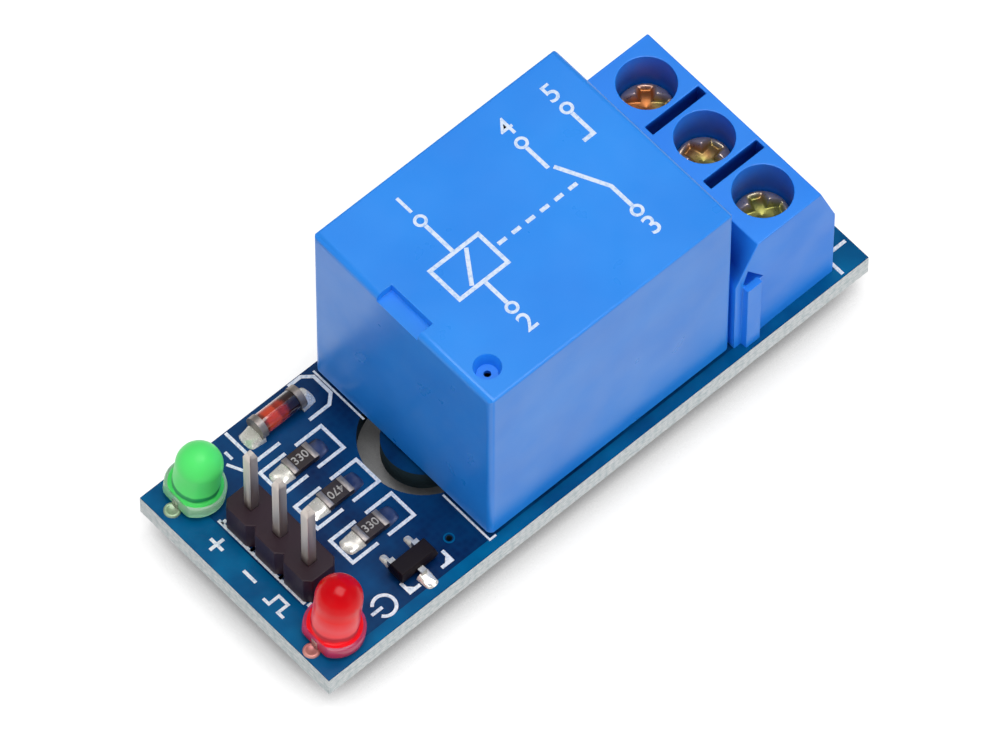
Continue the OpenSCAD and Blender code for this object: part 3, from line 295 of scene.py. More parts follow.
def diode_envelope():
    """Small glass diode body: orange-red lead glass with a dark printed band at its cathode end. Its bright
    lobes, with darker glass at its left end and between them, are painted light.
    """
    material, tree, shader, mm = finish("orange_lead_glass", Roughness=0.08, IOR=1.56,
                                        Transmission_Weight=0.35, Coat_Weight=1.0)
    low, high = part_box("diode_glass")
    along = add(tree, "SeparateXYZ", {0: mm}, "X")
    place = add(tree, "MapRange", {"Value": along, "From Min": low.x / MM, "From Max": high.x / MM}, "Result")
    wander = add(tree, "TexNoise", {"Vector": mm, "Scale": 1 / 0.5, "Detail": 2.0}, "Fac")
    drift = add(tree, "MapRange", {"Value": wander, "From Min": 0.3, "From Max": 0.7, "To Min": -0.05,
                                   "To Max": 0.05}, "Result")
    level = add(tree, "Math", {0: place, 1: drift}, operation="ADD")
    # the two bright lobes and the darker glass at the left end and between them are painted light; the dark
    # end is the printed band
    join(tree, shader,
         Base_Color=add(tree, "ValToRGB", {0: level},
                        stops=((0.05, "#8E3A1E"), (0.14, "#F04E22"), (0.40, "#F2512A"), (0.48, "#A82A10"),
                               (0.58, "#C93616"), (0.72, "#3A1410"), (0.95, "#24100E"))),
         Normal=add(tree, "Bump", {"Height": wander, "Distance": 0.01 * MM, "Strength": 0.4}, "Normal"))
    return material


BOARD_LOW, BOARD_HIGH = (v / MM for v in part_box("pcb"))
TOP = BOARD_HIGH.z
# the place of the plated via beside the transistor, in mm, as the part's source has it
VIA = (-9.96, -5.93)
# thickness of the copper and of the ink, in mm
COPPER_T = 0.02
INK_T = 0.012
# the board's ink starts just clear of the copper
INK_Z = TOP + 0.021

BOARD = solder_mask()
COPPER = masked_copper()
BOARD_INK = printed_ink("white_board_ink", "#F0F3F9", "#B4C8DE")
RELAY_INK = printed_ink("white_pad_printed_ink", "#DCE8FA", "#A9C8F2")
CHIP_INK = printed_ink("grey_chip_ink", "#B9B4AE", "#7D7872")
FINISH = {
    "board": BOARD,
    # reflowed tin: mirror bright, frosted where it froze last
    "solder": plated("reflowed_tin_solder", "#EAE5DA", "#FFFDF6", 0.18, 0.45, 0.010, metal=0.45),
    "header_plastic": moulded("black_header_nylon", "#200F19", "#2C1723", 0.42, 0.10, 0.004, shine=0.35),
    # drawn square wire with a pinkish nickel flash: streaks run along the pin
    "pin_plating": plated("flash_plated_pin_wire", "#C9BFB8", "#DDD5CE", 0.36, 0.20, 0.001, (1, 1, 0.06)),
    "lamp_lead": plated("tinned_lead_frame", "#A8A8A4", "#D3D2CC", 0.22, 0.15, 0.006, (1, 1, 0.2)),
    "resistor": overcoat("black_glass_overcoat"),
    "end_cap": plated("matt_tinned_end_cap", "#8E8683", "#ADA5A1", 0.36, 0.15, 0.004, metal=0.8),
    "diode_glass": diode_envelope(),
    "diode_chip": overcoat("silicon_chip"),
    "transistor": moulded("black_epoxy_package", "#0E060B", "#180C14", 0.45, 0.08, 0.005, shine=0.18),
    "tinned_lead": plated("tinned_formed_lead", "#B5B4B0", "#DEDDD8", 0.26, 0.2, 0.003, metal=0.8),
    "relay_blue": moulded("blue_relay_polyester", "#1F86EC", "#2890F4", 0.32, 0.25, 0.002),
    "relay_black": moulded("black_relay_base_polyester", "#141416", "#1D1D20", 0.4, 0.12, 0.010),
    "resin": moulded("brown_potting_epoxy", "#1B1512", "#2A211B", 0.18, 0.6, 0.020),
    "magnet_iron": plated("zinc_plated_soft_iron", "#8D939B", "#B7BCC2", 0.24, 0.2, 0.006),
    "bobbin": moulded("ivory_bobbin_nylon", "#CFCBB8", "#DEDAC8", 0.42, 0.15, 0.010),
    # winding of 0.08 mm wire: drawn as turns 0.25 mm apart so that they show
    "enamelled_copper": plated("enamelled_copper_winding", "#7A3214", "#B85A28", 0.25, 0.25, 0.030,
                               (0.05, 0.05, 3)),
    "tinned_pin": plated("tinned_brass_pin", "#AFA892", "#D5D0BE", 0.24, 0.15, 0.006, (1, 1, 0.2)),
    "spring_bronze": plated("rolled_phosphor_bronze", "#9C6A3C", "#C38D58", 0.22, 0.12, 0.005, (0.15, 1, 1)),
    "contact_silver": plated("silver_alloy_contact", "#C6C7C6", "#E8E8E4", 0.16, 0.2, 0.006),
    # its deep colour is a painted shade in the bores and grooves of its top
    "terminal_blue": moulded("blue_terminal_nylon", "#1E86F4", "#2890FB", 0.40, 0.2, 0.003, deep="#06339C"),
    "clamp_plating": plated("nickel_plated_brass_cage", "#A5A29A", "#CFCCC4", 0.22, 0.2, 0.006),
    "screw_zinc": passivated_screw(),
}

SLOT_OF = {
    "pcb": "board", "header_housing": "header_plastic",
    "green_led_lens": "green_lens", "red_led_lens": "red_lens",
    "green_led_leads": "lamp_lead", "red_led_leads": "lamp_lead", "diode_glass": "diode_glass",
    "diode_caps": "end_cap", "diode_die": "diode_chip", "transistor_body": "transistor",
    "transistor_leads": "tinned_lead", "relay_cover": "relay_blue", "relay_base": "relay_black",
    "relay_seal": "resin", "relay_yoke": "magnet_iron", "relay_core": "magnet_iron", "relay_bobbin": "bobbin",
    "relay_coil": "enamelled_copper", "coil_pins": "tinned_pin", "relay_armature": "magnet_iron",
    "leaf_spring": "spring_bronze", "moving_contact": "contact_silver", "com_terminal": "tinned_pin",
    "no_terminal": "tinned_pin", "no_contact": "contact_silver", "nc_terminal": "tinned_pin",
    "nc_contact": "contact_silver", "terminal_housing": "terminal_blue",
}
for i in (1, 2, 3):
    SLOT_OF.update({f"header_pin_{i}": "pin_plating", f"resistor_{i}_body": "resistor",
                    f"resistor_{i}_caps": "end_cap", f"clamp_frame_{i}": "clamp_plating",
                    f"wire_guard_{i}": "clamp_plating", f"terminal_screw_{i}": "screw_zinc"})
for part in ("relay", "terminal", "header", "led", "smd"):
    SLOT_OF[f"{part}_solder"] = "solder"


# ---------------------------------------------------------------- making pieces

def wear(piece, material):
    """Gives a mesh one material."""
    piece.data.materials.clear()
    piece.data.materials.append(material)
    for face in piece.data.polygons:
        face.material_index = 0


def piece_from(work, name, material, body="root", crease=30.0, smooth=True):
    """Turns a bmesh into a piece that rides on a body, smooth except at creases."""
    mesh = bpy.data.meshes.new(name)
    work.to_mesh(mesh)
    work.free()
    if "custom_normal" in mesh.attributes:
        mesh.attributes.remove(mesh.attributes["custom_normal"])
    piece = bpy.data.objects.new(name, mesh)
    bpy.context.scene.collection.objects.link(piece)
    wear(piece, material)
    if smooth:
        mesh.shade_smooth()
        mesh.set_sharp_from_angle(angle=math.radians(crease))
    else:
        mesh.shade_flat()
    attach(piece, body)
    return piece


def eased(node, width, material=None, crease=30.0, short=1.0, mouths=False):
    """Makes a copy of a CAD node that stands for it. Its edges longer than the short length are broken by a
    width in mm, and the mouths on its top face can be broken too. A width of 0 only smooths it."""
    source = NODES[node]
    work = bmesh.new()
    work.from_mesh(source.data)
    bmesh.ops.remove_doubles(work, verts=work.verts, dist=0.5e-6)
    bmesh.ops.dissolve_limit(work, angle_limit=math.radians(0.5), verts=work.verts, edges=work.edges)
    if width:
        roof = max(v.co.z for v in work.verts) - 1e-6 if mouths else math.inf
        sharp = [e for e in work.edges
                 if len(e.link_faces) == 2 and e.calc_face_angle(0) > math.radians(crease)
                 and (e.calc_length() > short * MM or min(v.co.z for v in e.verts) > roof)]
        bmesh.ops.bevel(work, geom=sharp, offset=width * MM, segments=2, profile=0.5, affect="EDGES",
                        clamp_overlap=False)
    slot = SLOT_OF[node]
    piece = piece_from(work, f"{node}_eased", material or FINISH[slot], source["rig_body"], crease + 8)
    weighted = piece.modifiers.new("flat faces stay flat", "WEIGHTED_NORMAL")
    weighted.keep_sharp = True
    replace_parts(piece, node)


def spun(work, profile, centre, steps=64):
    """Adds a solid of revolution about a vertical axis and gives its rings of vertices. The profile is
    (radius, height) pairs in mm, bottom to top."""
    rings = []
    for radius, height in profile:
        if radius < 1e-6:
            rings.append([work.verts.new((centre.x, centre.y, centre.z + height * MM))])
        else:
            rings.append([work.verts.new((centre.x + radius * MM * math.cos(math.tau * k / steps),
                                          centre.y + radius * MM * math.sin(math.tau * k / steps),
                                          centre.z + height * MM)) for k in range(steps)])
    for lower, upper in zip(rings, rings[1:]):
        for k in range(steps):
            n = (k + 1) % steps
            if len(lower) == 1:
                work.faces.new((lower[0], upper[n], upper[k]))
            elif len(upper) == 1:
                work.faces.new((lower[k], lower[n], upper[0]))
            else:
                work.faces.new((lower[k], lower[n], upper[n], upper[k]))
    return rings


def flat_shape(work, points, z, thick=INK_T):
    """Adds a thin printed or etched shape: an outline in mm on the plane z, raised by its thickness."""
    low = [work.verts.new((x * MM, y * MM, z * MM)) for x, y in points]
    high = [work.verts.new((x * MM, y * MM, (z + thick) * MM)) for x, y in points]
    work.faces.new(high)
    work.faces.new(low[::-1])
    for k in range(len(points)):
        n = (k + 1) % len(points)
        work.faces.new((low[k], low[n], high[n], high[k]))


def stroke(work, points, width, z, closed=False, thick=INK_T):
    """Adds a printed line of one width along points in mm, mitred at its corners."""
    path = [Vector(p) for p in points]
    count = len(path)
    left, right = [], []
    for k, here in enumerate(path):
        before = path[k - 1] if (k or closed) else None
        after = path[(k + 1) % count] if (k < count - 1 or closed) else None
        a = (here - before).normalized() if before is not None else (after - here).normalized()
        b = (after - here).normalized() if after is not None else a
        across = Vector((-(a + b).y, (a + b).x)).normalized()
        reach = width / 2 / max(0.35, across.dot(Vector((-a.y, a.x))))
        left.append(here + across * reach)
        right.append(here - across * reach)
    runs = range(count if closed else count - 1)
    for k in runs:
        n = (k + 1) % count
        flat_shape(work, [right[k], right[n], left[n], left[k]], z, thick)


def arc(cx, cy, radius, start, end, steps=24):
    """Points on an arc, in mm and degrees."""
    angles = [math.radians(start + (end - start) * k / steps) for k in range(steps + 1)]
    return [(cx + radius * math.cos(a), cy + radius * math.sin(a)) for a in angles]


# size of the built-in font over the height of its capitals, and how much its strokes are thickened
FONT_TO_CAPITAL, FONT_WEIGHT = 1.38, 0.012


def numeral(work, text, x, y, z, size, turn=0.0, thick=INK_T):
    """Adds plain numerals, centred on x and y in mm, with capitals of the given height."""
    curve = bpy.data.curves.new("numeral", "FONT")
    curve.body, curve.size = text, size * MM * FONT_TO_CAPITAL
    curve.align_x, curve.align_y = "CENTER", "CENTER"
    curve.extrude = thick * MM / 2
    curve.offset = size * MM * FONT_WEIGHT
    holder = bpy.data.objects.new("numeral", curve)
    bpy.context.scene.collection.objects.link(holder)
    bpy.context.view_layer.update()
    mesh = bpy.data.meshes.new_from_object(holder.evaluated_get(bpy.context.evaluated_depsgraph_get()))
    place = (Matrix.Translation((x * MM, y * MM, (z + thick / 2) * MM))
             @ Matrix.Rotation(math.radians(turn), 4, "Z"))
    mesh.transform(place)
    work.from_mesh(mesh)
    bpy.data.objects.remove(holder)
    bpy.data.curves.remove(curve)
    bpy.data.meshes.remove(mesh)


# carried-over CAD pieces take their finish from their slot
for node, part in NODES.items():
    if SLOT_OF[node] in FINISH:
        wear(part, FINISH[SLOT_OF[node]])

# edges of moulded and stamped pieces are never knife sharp
eased("relay_cover", 0.05, short=0.5)
eased("terminal_housing", 0.09, short=2.4, mouths=True)
eased("header_housing", 0.07, short=0.5)
eased("transistor_body", 0.05, short=0.5)
for i in (1, 2, 3):
    eased(f"clamp_frame_{i}", 0.06, short=0.9)
    eased(f"wire_guard_{i}", 0.06)
    eased(f"header_pin_{i}", 0.05)
    eased(f"resistor_{i}_body", 0.02, short=0.3)
    eased(f"resistor_{i}_caps", 0.03, short=0.2)
for node in ("relay_solder", "terminal_solder", "header_solder", "led_solder", "diode_glass",
             "transistor_leads"):
    eased(node, 0.0, crease=40)
eased("diode_caps", 0.0, crease=40,
      material=plated("dull_nickel_end_cap", "#8F8680", "#B0A69F", 0.36, 0.2, 0.004, metal=0.75))


# ---------------------------------------------------------------- lamps

# a lamp's flange stands this far over the board, and the lamps lean along this way, in degrees
FLANGE_LIFT, LEAN_WAY = 0.3, 42
# half outline of the solder round a leg, (radius, height) in mm, with a dished top
LEG_SOLDER = ((0.0, 0.0), (0.54, 0.0), (0.54, 0.06), (0.49, 0.15), (0.40, 0.18), (0.31, 0.14), (0.22, 0.09),
              (0.0, 0.08))


def lamp(colour, lean, gloss, bands, flange, pad):
    """A 3 mm lamp that leans by some degrees: a lens with a flange flattened on one side, its lead frame
    dimly inside, and solder round its legs. The bands, the flange and the pad give their colours, and the
    bands and the pad carry painted light."""
    legs_low, legs_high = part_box(f"{colour}_led_leads")
    lens_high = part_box(f"{colour}_led_lens")[1]
    centre = (legs_low + legs_high) / 2
    body_r, rim_r, rim_t, flat = 1.45, 1.9, 0.95, 1.52
    base = Vector((centre.x / MM, centre.y / MM, TOP + FLANGE_LIFT))
    tall = lens_high.z / MM - base.z
    turn = (Matrix.Rotation(math.radians(-LEAN_WAY), 4, "Z") @ Matrix.Rotation(math.radians(lean), 4, "Y")
            @ Matrix.Rotation(math.radians(LEAN_WAY), 4, "Z"))
    tilt = Matrix.Translation(base * MM) @ turn
    axis = turn @ Vector((0, 0, 1))
    crown = (tall - body_r) / math.cos(math.radians(lean))
    tall = crown + body_r

    def cast(work, form, material):
        """Cuts the flat into a form of the lens, leans it and makes it a piece."""
        for vert in work.verts:
            vert.co.x = max(vert.co.x, -flat * MM)
        work.transform(tilt)
        return piece_from(work, f"{colour}_lamp_{form}", material, crease=40)

    # the dome stands on a small foot that sinks into the flange
    dome = [(body_r * math.cos(a), crown + body_r * math.sin(a))
            for a in (math.pi / 2 * k / 14 for k in range(15))]
    dome[-1] = (0.0, tall)
    foot_r = body_r + 0.24
    lens = bmesh.new()
    spun(lens, [(0.0, rim_t - 0.12), (foot_r, rim_t - 0.12), (foot_r, rim_t + 0.02),
                (foot_r - 0.04, rim_t + 0.06), (body_r + 0.04, rim_t + 0.12), (body_r, rim_t + 0.2)] + dome,
         Vector())
    dome_piece = cast(lens, "dome",
                      lens_epoxy(f"{colour}_lamp_epoxy", base, axis, tall, 0.05, gloss, 0.08, *bands))
    rim = bmesh.new()
    soft = 0.14
    spun(rim, [(0.0, 0.0), (rim_r - soft, 0.0), (rim_r - soft * 0.3, soft * 0.3), (rim_r, soft),
               (rim_r, rim_t - soft), (rim_r - soft * 0.3, rim_t - soft * 0.3), (rim_r - soft, rim_t),
               (0.0, rim_t)], Vector())
    cast(rim, "flange",
         lens_epoxy(f"{colour}_lamp_flange_epoxy", base, axis, rim_t, 0.65, 0.12, 0.09, *flange))
    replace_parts(dome_piece, f"{colour}_led_lens")
    # lead frame inside the lens: a cup on the anvil leg, and the thinner post
    inner = bmesh.new()
    for shift, reach, half, top in ((-1.27, 0.55, 0.45, 2.2), (1.27, 0.6, 0.28, 2.0)):
        foot, tip = shift * 0.94, shift * reach
        outline = [(foot - 0.22, rim_t * 0.3), (foot + 0.22, rim_t * 0.3), (tip + half, top - 0.5),
                   (tip * 0.8 + half, top), (tip * 0.8 - half, top), (tip - half, top - 0.5)]
        sides = [[inner.verts.new((x * MM, y * MM, z * MM)) for x, z in outline] for y in (-0.25, 0.25)]
        inner.faces.new(sides[0])
        inner.faces.new(sides[1][::-1])
        for k in range(len(outline)):
            n = (k + 1) % len(outline)
            inner.faces.new((sides[0][n], sides[0][k], sides[1][k], sides[1][n]))
    inner.transform(tilt)
    piece_from(inner, f"{colour}_lamp_frame", FINISH["lamp_lead"])
    # solder round the two legs at the face of the board
    pads = bmesh.new()
    for leg in (centre.x - 1.74 * MM, legs_high.x - 0.10 * MM):
        spun(pads, LEG_SOLDER, Vector((leg, centre.y, TOP * MM)), 32)
    # the pad colours are a painted reflection of the lens's colour on the fluxed tin
    fluxed = plated(f"{colour}_fluxed_solder_painted_lens_tint", *pad, 0.30, 0.4, 0.006, metal=0.4)
    piece_from(pads, f"{colour}_lamp_top_solder", fluxed, crease=50)


# in the bands, the dark band just over the flange is painted shade under the dome; the red lamp's pale pink
# bands are painted reflections on its side
lamp("green", 6.5, 0.3,
     ((1.10, "#4EE06A"), (1.18, "#1A8C52"), (1.48, "#229E58"), (1.62, "#5CEC78")),
     ((0.0, "#8CCFA0"), (0.7, "#C6EFCE")), ("#A3BD9A", "#C4D8B8"))
lamp("red", 5.0, 0.16,
     ((1.10, "#FF1020"), (1.18, "#D00A1E"), (1.48, "#B80E2C"), (1.75, "#FF4A50"), (2.3, "#FF5A60"),
      (2.9, "#FF3A40"), (3.3, "#FF0A0C"), (4.4, "#E2040E"), (5.2, "#C80210")),
     ((0.0, "#B80A3C"), (0.7, "#EE5A8C")), ("#C46C70", "#F0B4A4"))


# ---------------------------------------------------------------- solder on the chip parts

def mound(work, x_edge, x_part, y_low, y_high, height):
    """Adds a solder fillet, in mm: a wet, slightly lumpy form that climbs from the pad's edge to the part's
    end, on a grid of lines from edge to part and steps across."""
    lines, across = 12, 14
    grid = []
    for a in range(lines + 1):
        u = a / lines
        row = []
        for b in range(across + 1):
            v = 2 * b / across - 1
            ends = max(0.0, 1 - abs(v) ** 3) ** 0.6
            lump = 0.12 * math.sin(6 * u + 4 * v + 5 * y_low) * (1 - u)
            rise = (0.22 + 0.78 * u ** 1.6 + lump) * ends * min(1.0, (u / 0.16)) ** 0.6
            x = x_edge + (x_part - x_edge) * u + (x_part - x_edge) * 0.16 * (1 - u) ** 3 * abs(v) ** 2.5
            pinch = 1 - 0.14 * (1 - u) * abs(v) ** 3
            y = (y_low + y_high) / 2 + (y_high - y_low) / 2 * v * pinch
            row.append(work.verts.new((x * MM, y * MM, (TOP + 0.02 + height * rise) * MM)))
        grid.append(row)
    for row, after in zip(grid, grid[1:]):
        for b in range(across):
            corners = (row[b], after[b], after[b + 1], row[b + 1])
            work.faces.new(corners if x_part > x_edge else corners[::-1])
    rim = [grid[a][0] for a in range(lines + 1)] + [grid[lines][b] for b in range(1, across + 1)]
    rim += ([grid[a][across] for a in range(lines - 1, -1, -1)]
            + [grid[0][b] for b in range(across - 1, 0, -1)])
    foot = [work.verts.new((v.co.x, v.co.y, TOP * MM)) for v in rim]
    for k in range(len(rim)):
        n = (k + 1) % len(rim)
        work.faces.new((rim[k], rim[n], foot[n], foot[k]) if x_part > x_edge
                       else (rim[n], rim[k], foot[k], foot[n]))
    work.faces.new(foot)


fillets, thin_pads = bmesh.new(), bmesh.new()
for i in (1, 2, 3):
    low, high = (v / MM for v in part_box(f"resistor_{i}_caps"))
    mound(fillets, low.x - 1.15, low.x + 0.06, low.y - 0.05, high.y + 0.05, 0.42)
    mound(thin_pads, high.x + 0.9, high.x - 0.06, low.y - 0.02, high.y + 0.02, 0.16)
low, high = (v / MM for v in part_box("diode_caps"))
mound(fillets, low.x - 0.9, low.x + 0.25, low.y + 0.02, high.y - 0.02, 0.8)
mound(fillets, high.x + 0.9, high.x - 0.25, low.y + 0.02, high.y - 0.02, 0.45)
low, high = (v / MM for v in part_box("transistor_leads"))
middle = (low.x + high.x) / 2
for x, y_in, way, half in ((middle, low.y + 0.35, -1, 0.48), (low.x + 0.2, high.y - 0.3, 1, 0.27),
                           (high.x - 0.2, high.y - 0.3, 1, 0.27)):
    pad = bmesh.new()
    mound(pad, 0.6 + half, 0.0, -half, half, 0.34)
    pad.transform(Matrix.Translation((x * MM, y_in * MM, 0))
                  @ Matrix.Rotation(math.radians(90 * way), 4, "Z"))
    spare = bpy.data.meshes.new("pad")
    pad.to_mesh(spare)
    pad.free()
    fillets.from_mesh(spare)
    bpy.data.meshes.remove(spare)
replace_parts(piece_from(fillets, "chip_solder_fillets", FINISH["solder"], crease=70), "smd_solder")
# the thin pads' dark blue-grey is painted shade and a painted reflection of the relay's blue face
piece_from(thin_pads, "thin_chip_solder",
           plated("thin_tin_solder_painted_shade", "#4E5268", "#7A7D92", 0.30, 0.4, 0.006), crease=70)


# ---------------------------------------------------------------- terminal screws

def cross_screw(i):
    """A clamp screw: rolled thread, raised head and a soft-edged cross recess; it turns with its own body."""
    node = f"terminal_screw_{i}"
    low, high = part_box(node)
    middle = (low + high) / 2
    centre = Vector((middle.x, middle.y, 0))
    base, top = low.z / MM, high.z / MM
    head_r, head_h, crown, shoulder = (high.x - low.x) / 2 / MM, 1.3, 0.45, 0.3
    steps, hoops = 96, 34
    # the recess, in mm: its arms' half width, how much that shrinks a mm outwards, and their reach; its
    # depth, and how much that shrinks a mm outwards; how far outside the arms its wall starts, and its width
    arm_half, arm_taper, arm_reach, recess, recess_rise, wall_start, wall_width = (
        0.62, 0.10, 1.4, 0.75, 0.20, 0.18, 0.44)
    # no two screws were left at the same angle
    aim = math.radians(28 + 37 * i)
    work = bmesh.new()
    sunk = work.verts.layers.float.new("sunk")
    outer = spun(work, [(0.0, top - head_h), (head_r - 0.1, top - head_h), (head_r, top - head_h + 0.1),
                        (head_r, top - shoulder)], centre, steps)[-1]
    for hoop in range(1, hoops + 1):
        r = head_r * (1 - (hoop / hoops) ** 1.1)
        dome = top - shoulder + (shoulder + crown) * (1 - (r / head_r) ** 3)
        ring = []
        for k in range(steps if hoop < hoops else 1):
            angle = math.tau * k / steps
            along, across = (abs(r * math.cos(angle - aim)), abs(r * math.sin(angle - aim)))
            half = arm_half - arm_taper * r
            inside = max(min(half - across, arm_reach - along), min(half - along, arm_reach - across))
            wall = min(1.0, max(0.0, (inside + wall_start) / wall_width))
            depth = wall * wall * (3 - 2 * wall) * (recess - recess_rise * r)
            vert = work.verts.new((centre.x + r * MM * math.cos(angle), centre.y + r * MM * math.sin(angle),
                                   (dome - depth) * MM))
            vert[sunk] = wall
            ring.append(vert)
        for k in range(steps):
            n = (k + 1) % steps
            if len(ring) == 1:
                work.faces.new((outer[k], outer[n], ring[0]))
            else:
                work.faces.new((outer[k], outer[n], ring[n], ring[k]))
        outer = ring
    # rolled thread on the shank, with eight rows of vertices a turn and a narrower first row
    shank_r, pitch, thread, steps = 1.3, 0.6, 0.28, 40
    rows = int((top - head_h - base) / pitch * 8)
    rings = []
    for a in range(rows + 1):
        z = base + (top - head_h - base) * a / rows
        ring = []
        for k in range(steps):
            phase = (z / pitch - k / steps) % 1.0
            r = (shank_r - thread * (1 - abs(2 * phase - 1))) * (0.85 if a == 0 else 1.0)
            ring.append(work.verts.new((centre.x + r * MM * math.cos(math.tau * k / steps),
                                        centre.y + r * MM * math.sin(math.tau * k / steps), z * MM)))
        rings.append(ring)
    for lower, upper in zip(rings, rings[1:]):
        for k in range(steps):
            n = (k + 1) % steps
            work.faces.new((lower[k], lower[n], upper[n], upper[k]))
    work.faces.new(rings[0][::-1])
    work.faces.new(rings[-1])
    screw = piece_from(work, f"clamp_screw_{i}", FINISH["screw_zinc"], f"screw_{i}", crease=60)
    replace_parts(screw, node)


for i in (1, 2, 3):
    cross_screw(i)


# ---------------------------------------------------------------- print and copper on the board

def board_copper():
    """Copper that shows through the mask: the pour round the board's rim and the broad tracks."""
    work = bmesh.new()
    x0, x1, y0, y1 = BOARD_LOW.x, BOARD_HIGH.x, BOARD_LOW.y, BOARD_HIGH.y
    m = 0.03
    header_end, near_side, terminal_end = 2.2, 0.8, 1.9
    for left, right, down, up in ((x0 + m, x0 + header_end, y0 + m, y1 - m),
                                  (x0 + header_end, x1 - m, y0 + m, y0 + near_side),
                                  (x1 - terminal_end, x1 - m, y0 + near_side, y1 - m)):
        flat_shape(work, [(left, down), (right, down), (right, up), (left, up)], TOP, COPPER_T)
    # land round the via beside the transistor
    stroke(work, arc(*VIA, 0.31, 0, 360, 28)[:-1], 0.1, TOP, closed=True, thick=COPPER_T)
    piece_from(work, "masked_copper", COPPER, smooth=False)


def board_print():
    """White printed outlines of the parts, and plain marks at the header and lamps."""
    work = bmesh.new()
    line, mark, fine = 0.23, 0.22, 0.2
    z = INK_Z
    pin_rows = [sum((v.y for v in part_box(f"header_pin_{i}")), 0.0) / 2 / MM for i in (1, 2, 3)]
    low, high = (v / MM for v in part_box("header_housing"))
    x = low.x - 0.02
    stroke(work, [(x, low.y + 0.25), (x, high.y + 0.3)], line, z)
    for y in pin_rows:
        for side in (-1.27, 1.27):
            stroke(work, [(x, y + side), (x + 0.35, y + side)], line, z)
    # chip resistors: a bracket round each pad
    for i in (1, 2, 3):
        low, high = (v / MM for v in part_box(f"resistor_{i}_caps"))
        left, right, down, up = low.x - 1.3, high.x + 1.55, low.y - 0.38, high.y + 0.38
        gap_low, gap_high = low.x + 0.7, high.x - 0.5
        stroke(work, [(gap_low, up), (left, up), (left, down), (gap_low, down)], line, z)
        stroke(work, [(gap_high, up), (right, up), (right, down), (gap_high, down)], line, z)
    # diode: brackets with the cathode corner cut
    low, high = (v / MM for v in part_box("diode_caps"))
    left, right, down, up = low.x - 1.2, high.x + 1.8, low.y - 0.58, BOARD_HIGH.y - 0.18
    stroke(work, [(low.x + 0.75, down), (left, down), (left, up + 0.1)], line, z)
    stroke(work, [(high.x - 0.4, down), (right - 0.6, down), (right, down + 0.55), (right, up - 0.5),
                  (right - 0.6, up), (high.x + 0.2, up)], line, z)
    # transistor corners
    low, high = (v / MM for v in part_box("transistor_body"))
    for corner, way in ((low.x + 0.1, 1), (high.x + 0.5, -1)):
        y = low.y - 0.6
        stroke(work, [(corner, y + 0.85), (corner, y), (corner + way * 0.8, y)], line, z)
        flat_shape(work, [(corner, y), (corner + way * 0.55, y), (corner, y + 0.55)][::way], z + 0.001)
    # a thin pale line just outside the relay's left base edge, broken over the slot, and a short piece along
    # its near side
    low, high = (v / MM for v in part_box("relay_cover"))
    x = low.x - 0.12
    stroke(work, [(x, high.y), (x, 3.5)], line * 0.6, z)
    stroke(work, [(x, -3.5), (x, low.y - 0.1), (x + 0.5, low.y - 0.1)], line * 0.6, z)
    # terminal block outline
    low, high = (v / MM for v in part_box("terminal_housing"))
    stroke(work, [(high.x + 0.3, low.y - 0.1), (high.x + 0.3, high.y + 0.2)], line, z)
    stroke(work, [(high.x + 0.5, low.y + 1.5), (BOARD_HIGH.x - 0.25, low.y + 1.5)], line, z)
    # header marks: plus, minus and a pulse for the signal
    x = BOARD_LOW.x + 1.25
    plus = pin_rows[2] + 0.4
    stroke(work, [(x - 0.55, plus), (x + 0.55, plus)], mark, z)
    for way in (-1, 1):
        stroke(work, [(x, plus + way * 0.11), (x, plus + way * 0.55)], mark, z)
    stroke(work, [(x, pin_rows[1] - 0.55), (x, pin_rows[1] + 0.55)], mark, z)
    y = pin_rows[0]
    stroke(work, [(x - 0.4, y + 0.9), (x - 0.4, y + 0.4), (x + 0.4, y + 0.4), (x + 0.4, y - 0.4),
                  (x - 0.4, y - 0.4), (x - 0.4, y - 0.9)], fine, z)
    # by the lamps: the sign for power, and an open switch
    low, high = (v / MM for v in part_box("red_led_leads"))
    cx, cy = high.x + 1.95, (low.y + high.y) / 2 - 0.6
    stroke(work, arc(cx, cy, 0.72, 215, 505, 30), mark, z)
    stroke(work, [(cx - 1.0, cy), (cx - 0.15, cy)], mark, z)
    low, high = (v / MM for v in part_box("green_led_leads"))
    cx, cy = high.x + 1.7, (low.y + high.y) / 2 - 0.3
    stroke(work, [(cx, cy - 1.2), (cx, cy - 0.55), (cx - 0.5, cy + 0.5)], fine, z)
    stroke(work, [(cx, cy + 0.55), (cx, cy + 1.2)], fine, z)
    piece_from(work, "board_print", BOARD_INK, smooth=False)


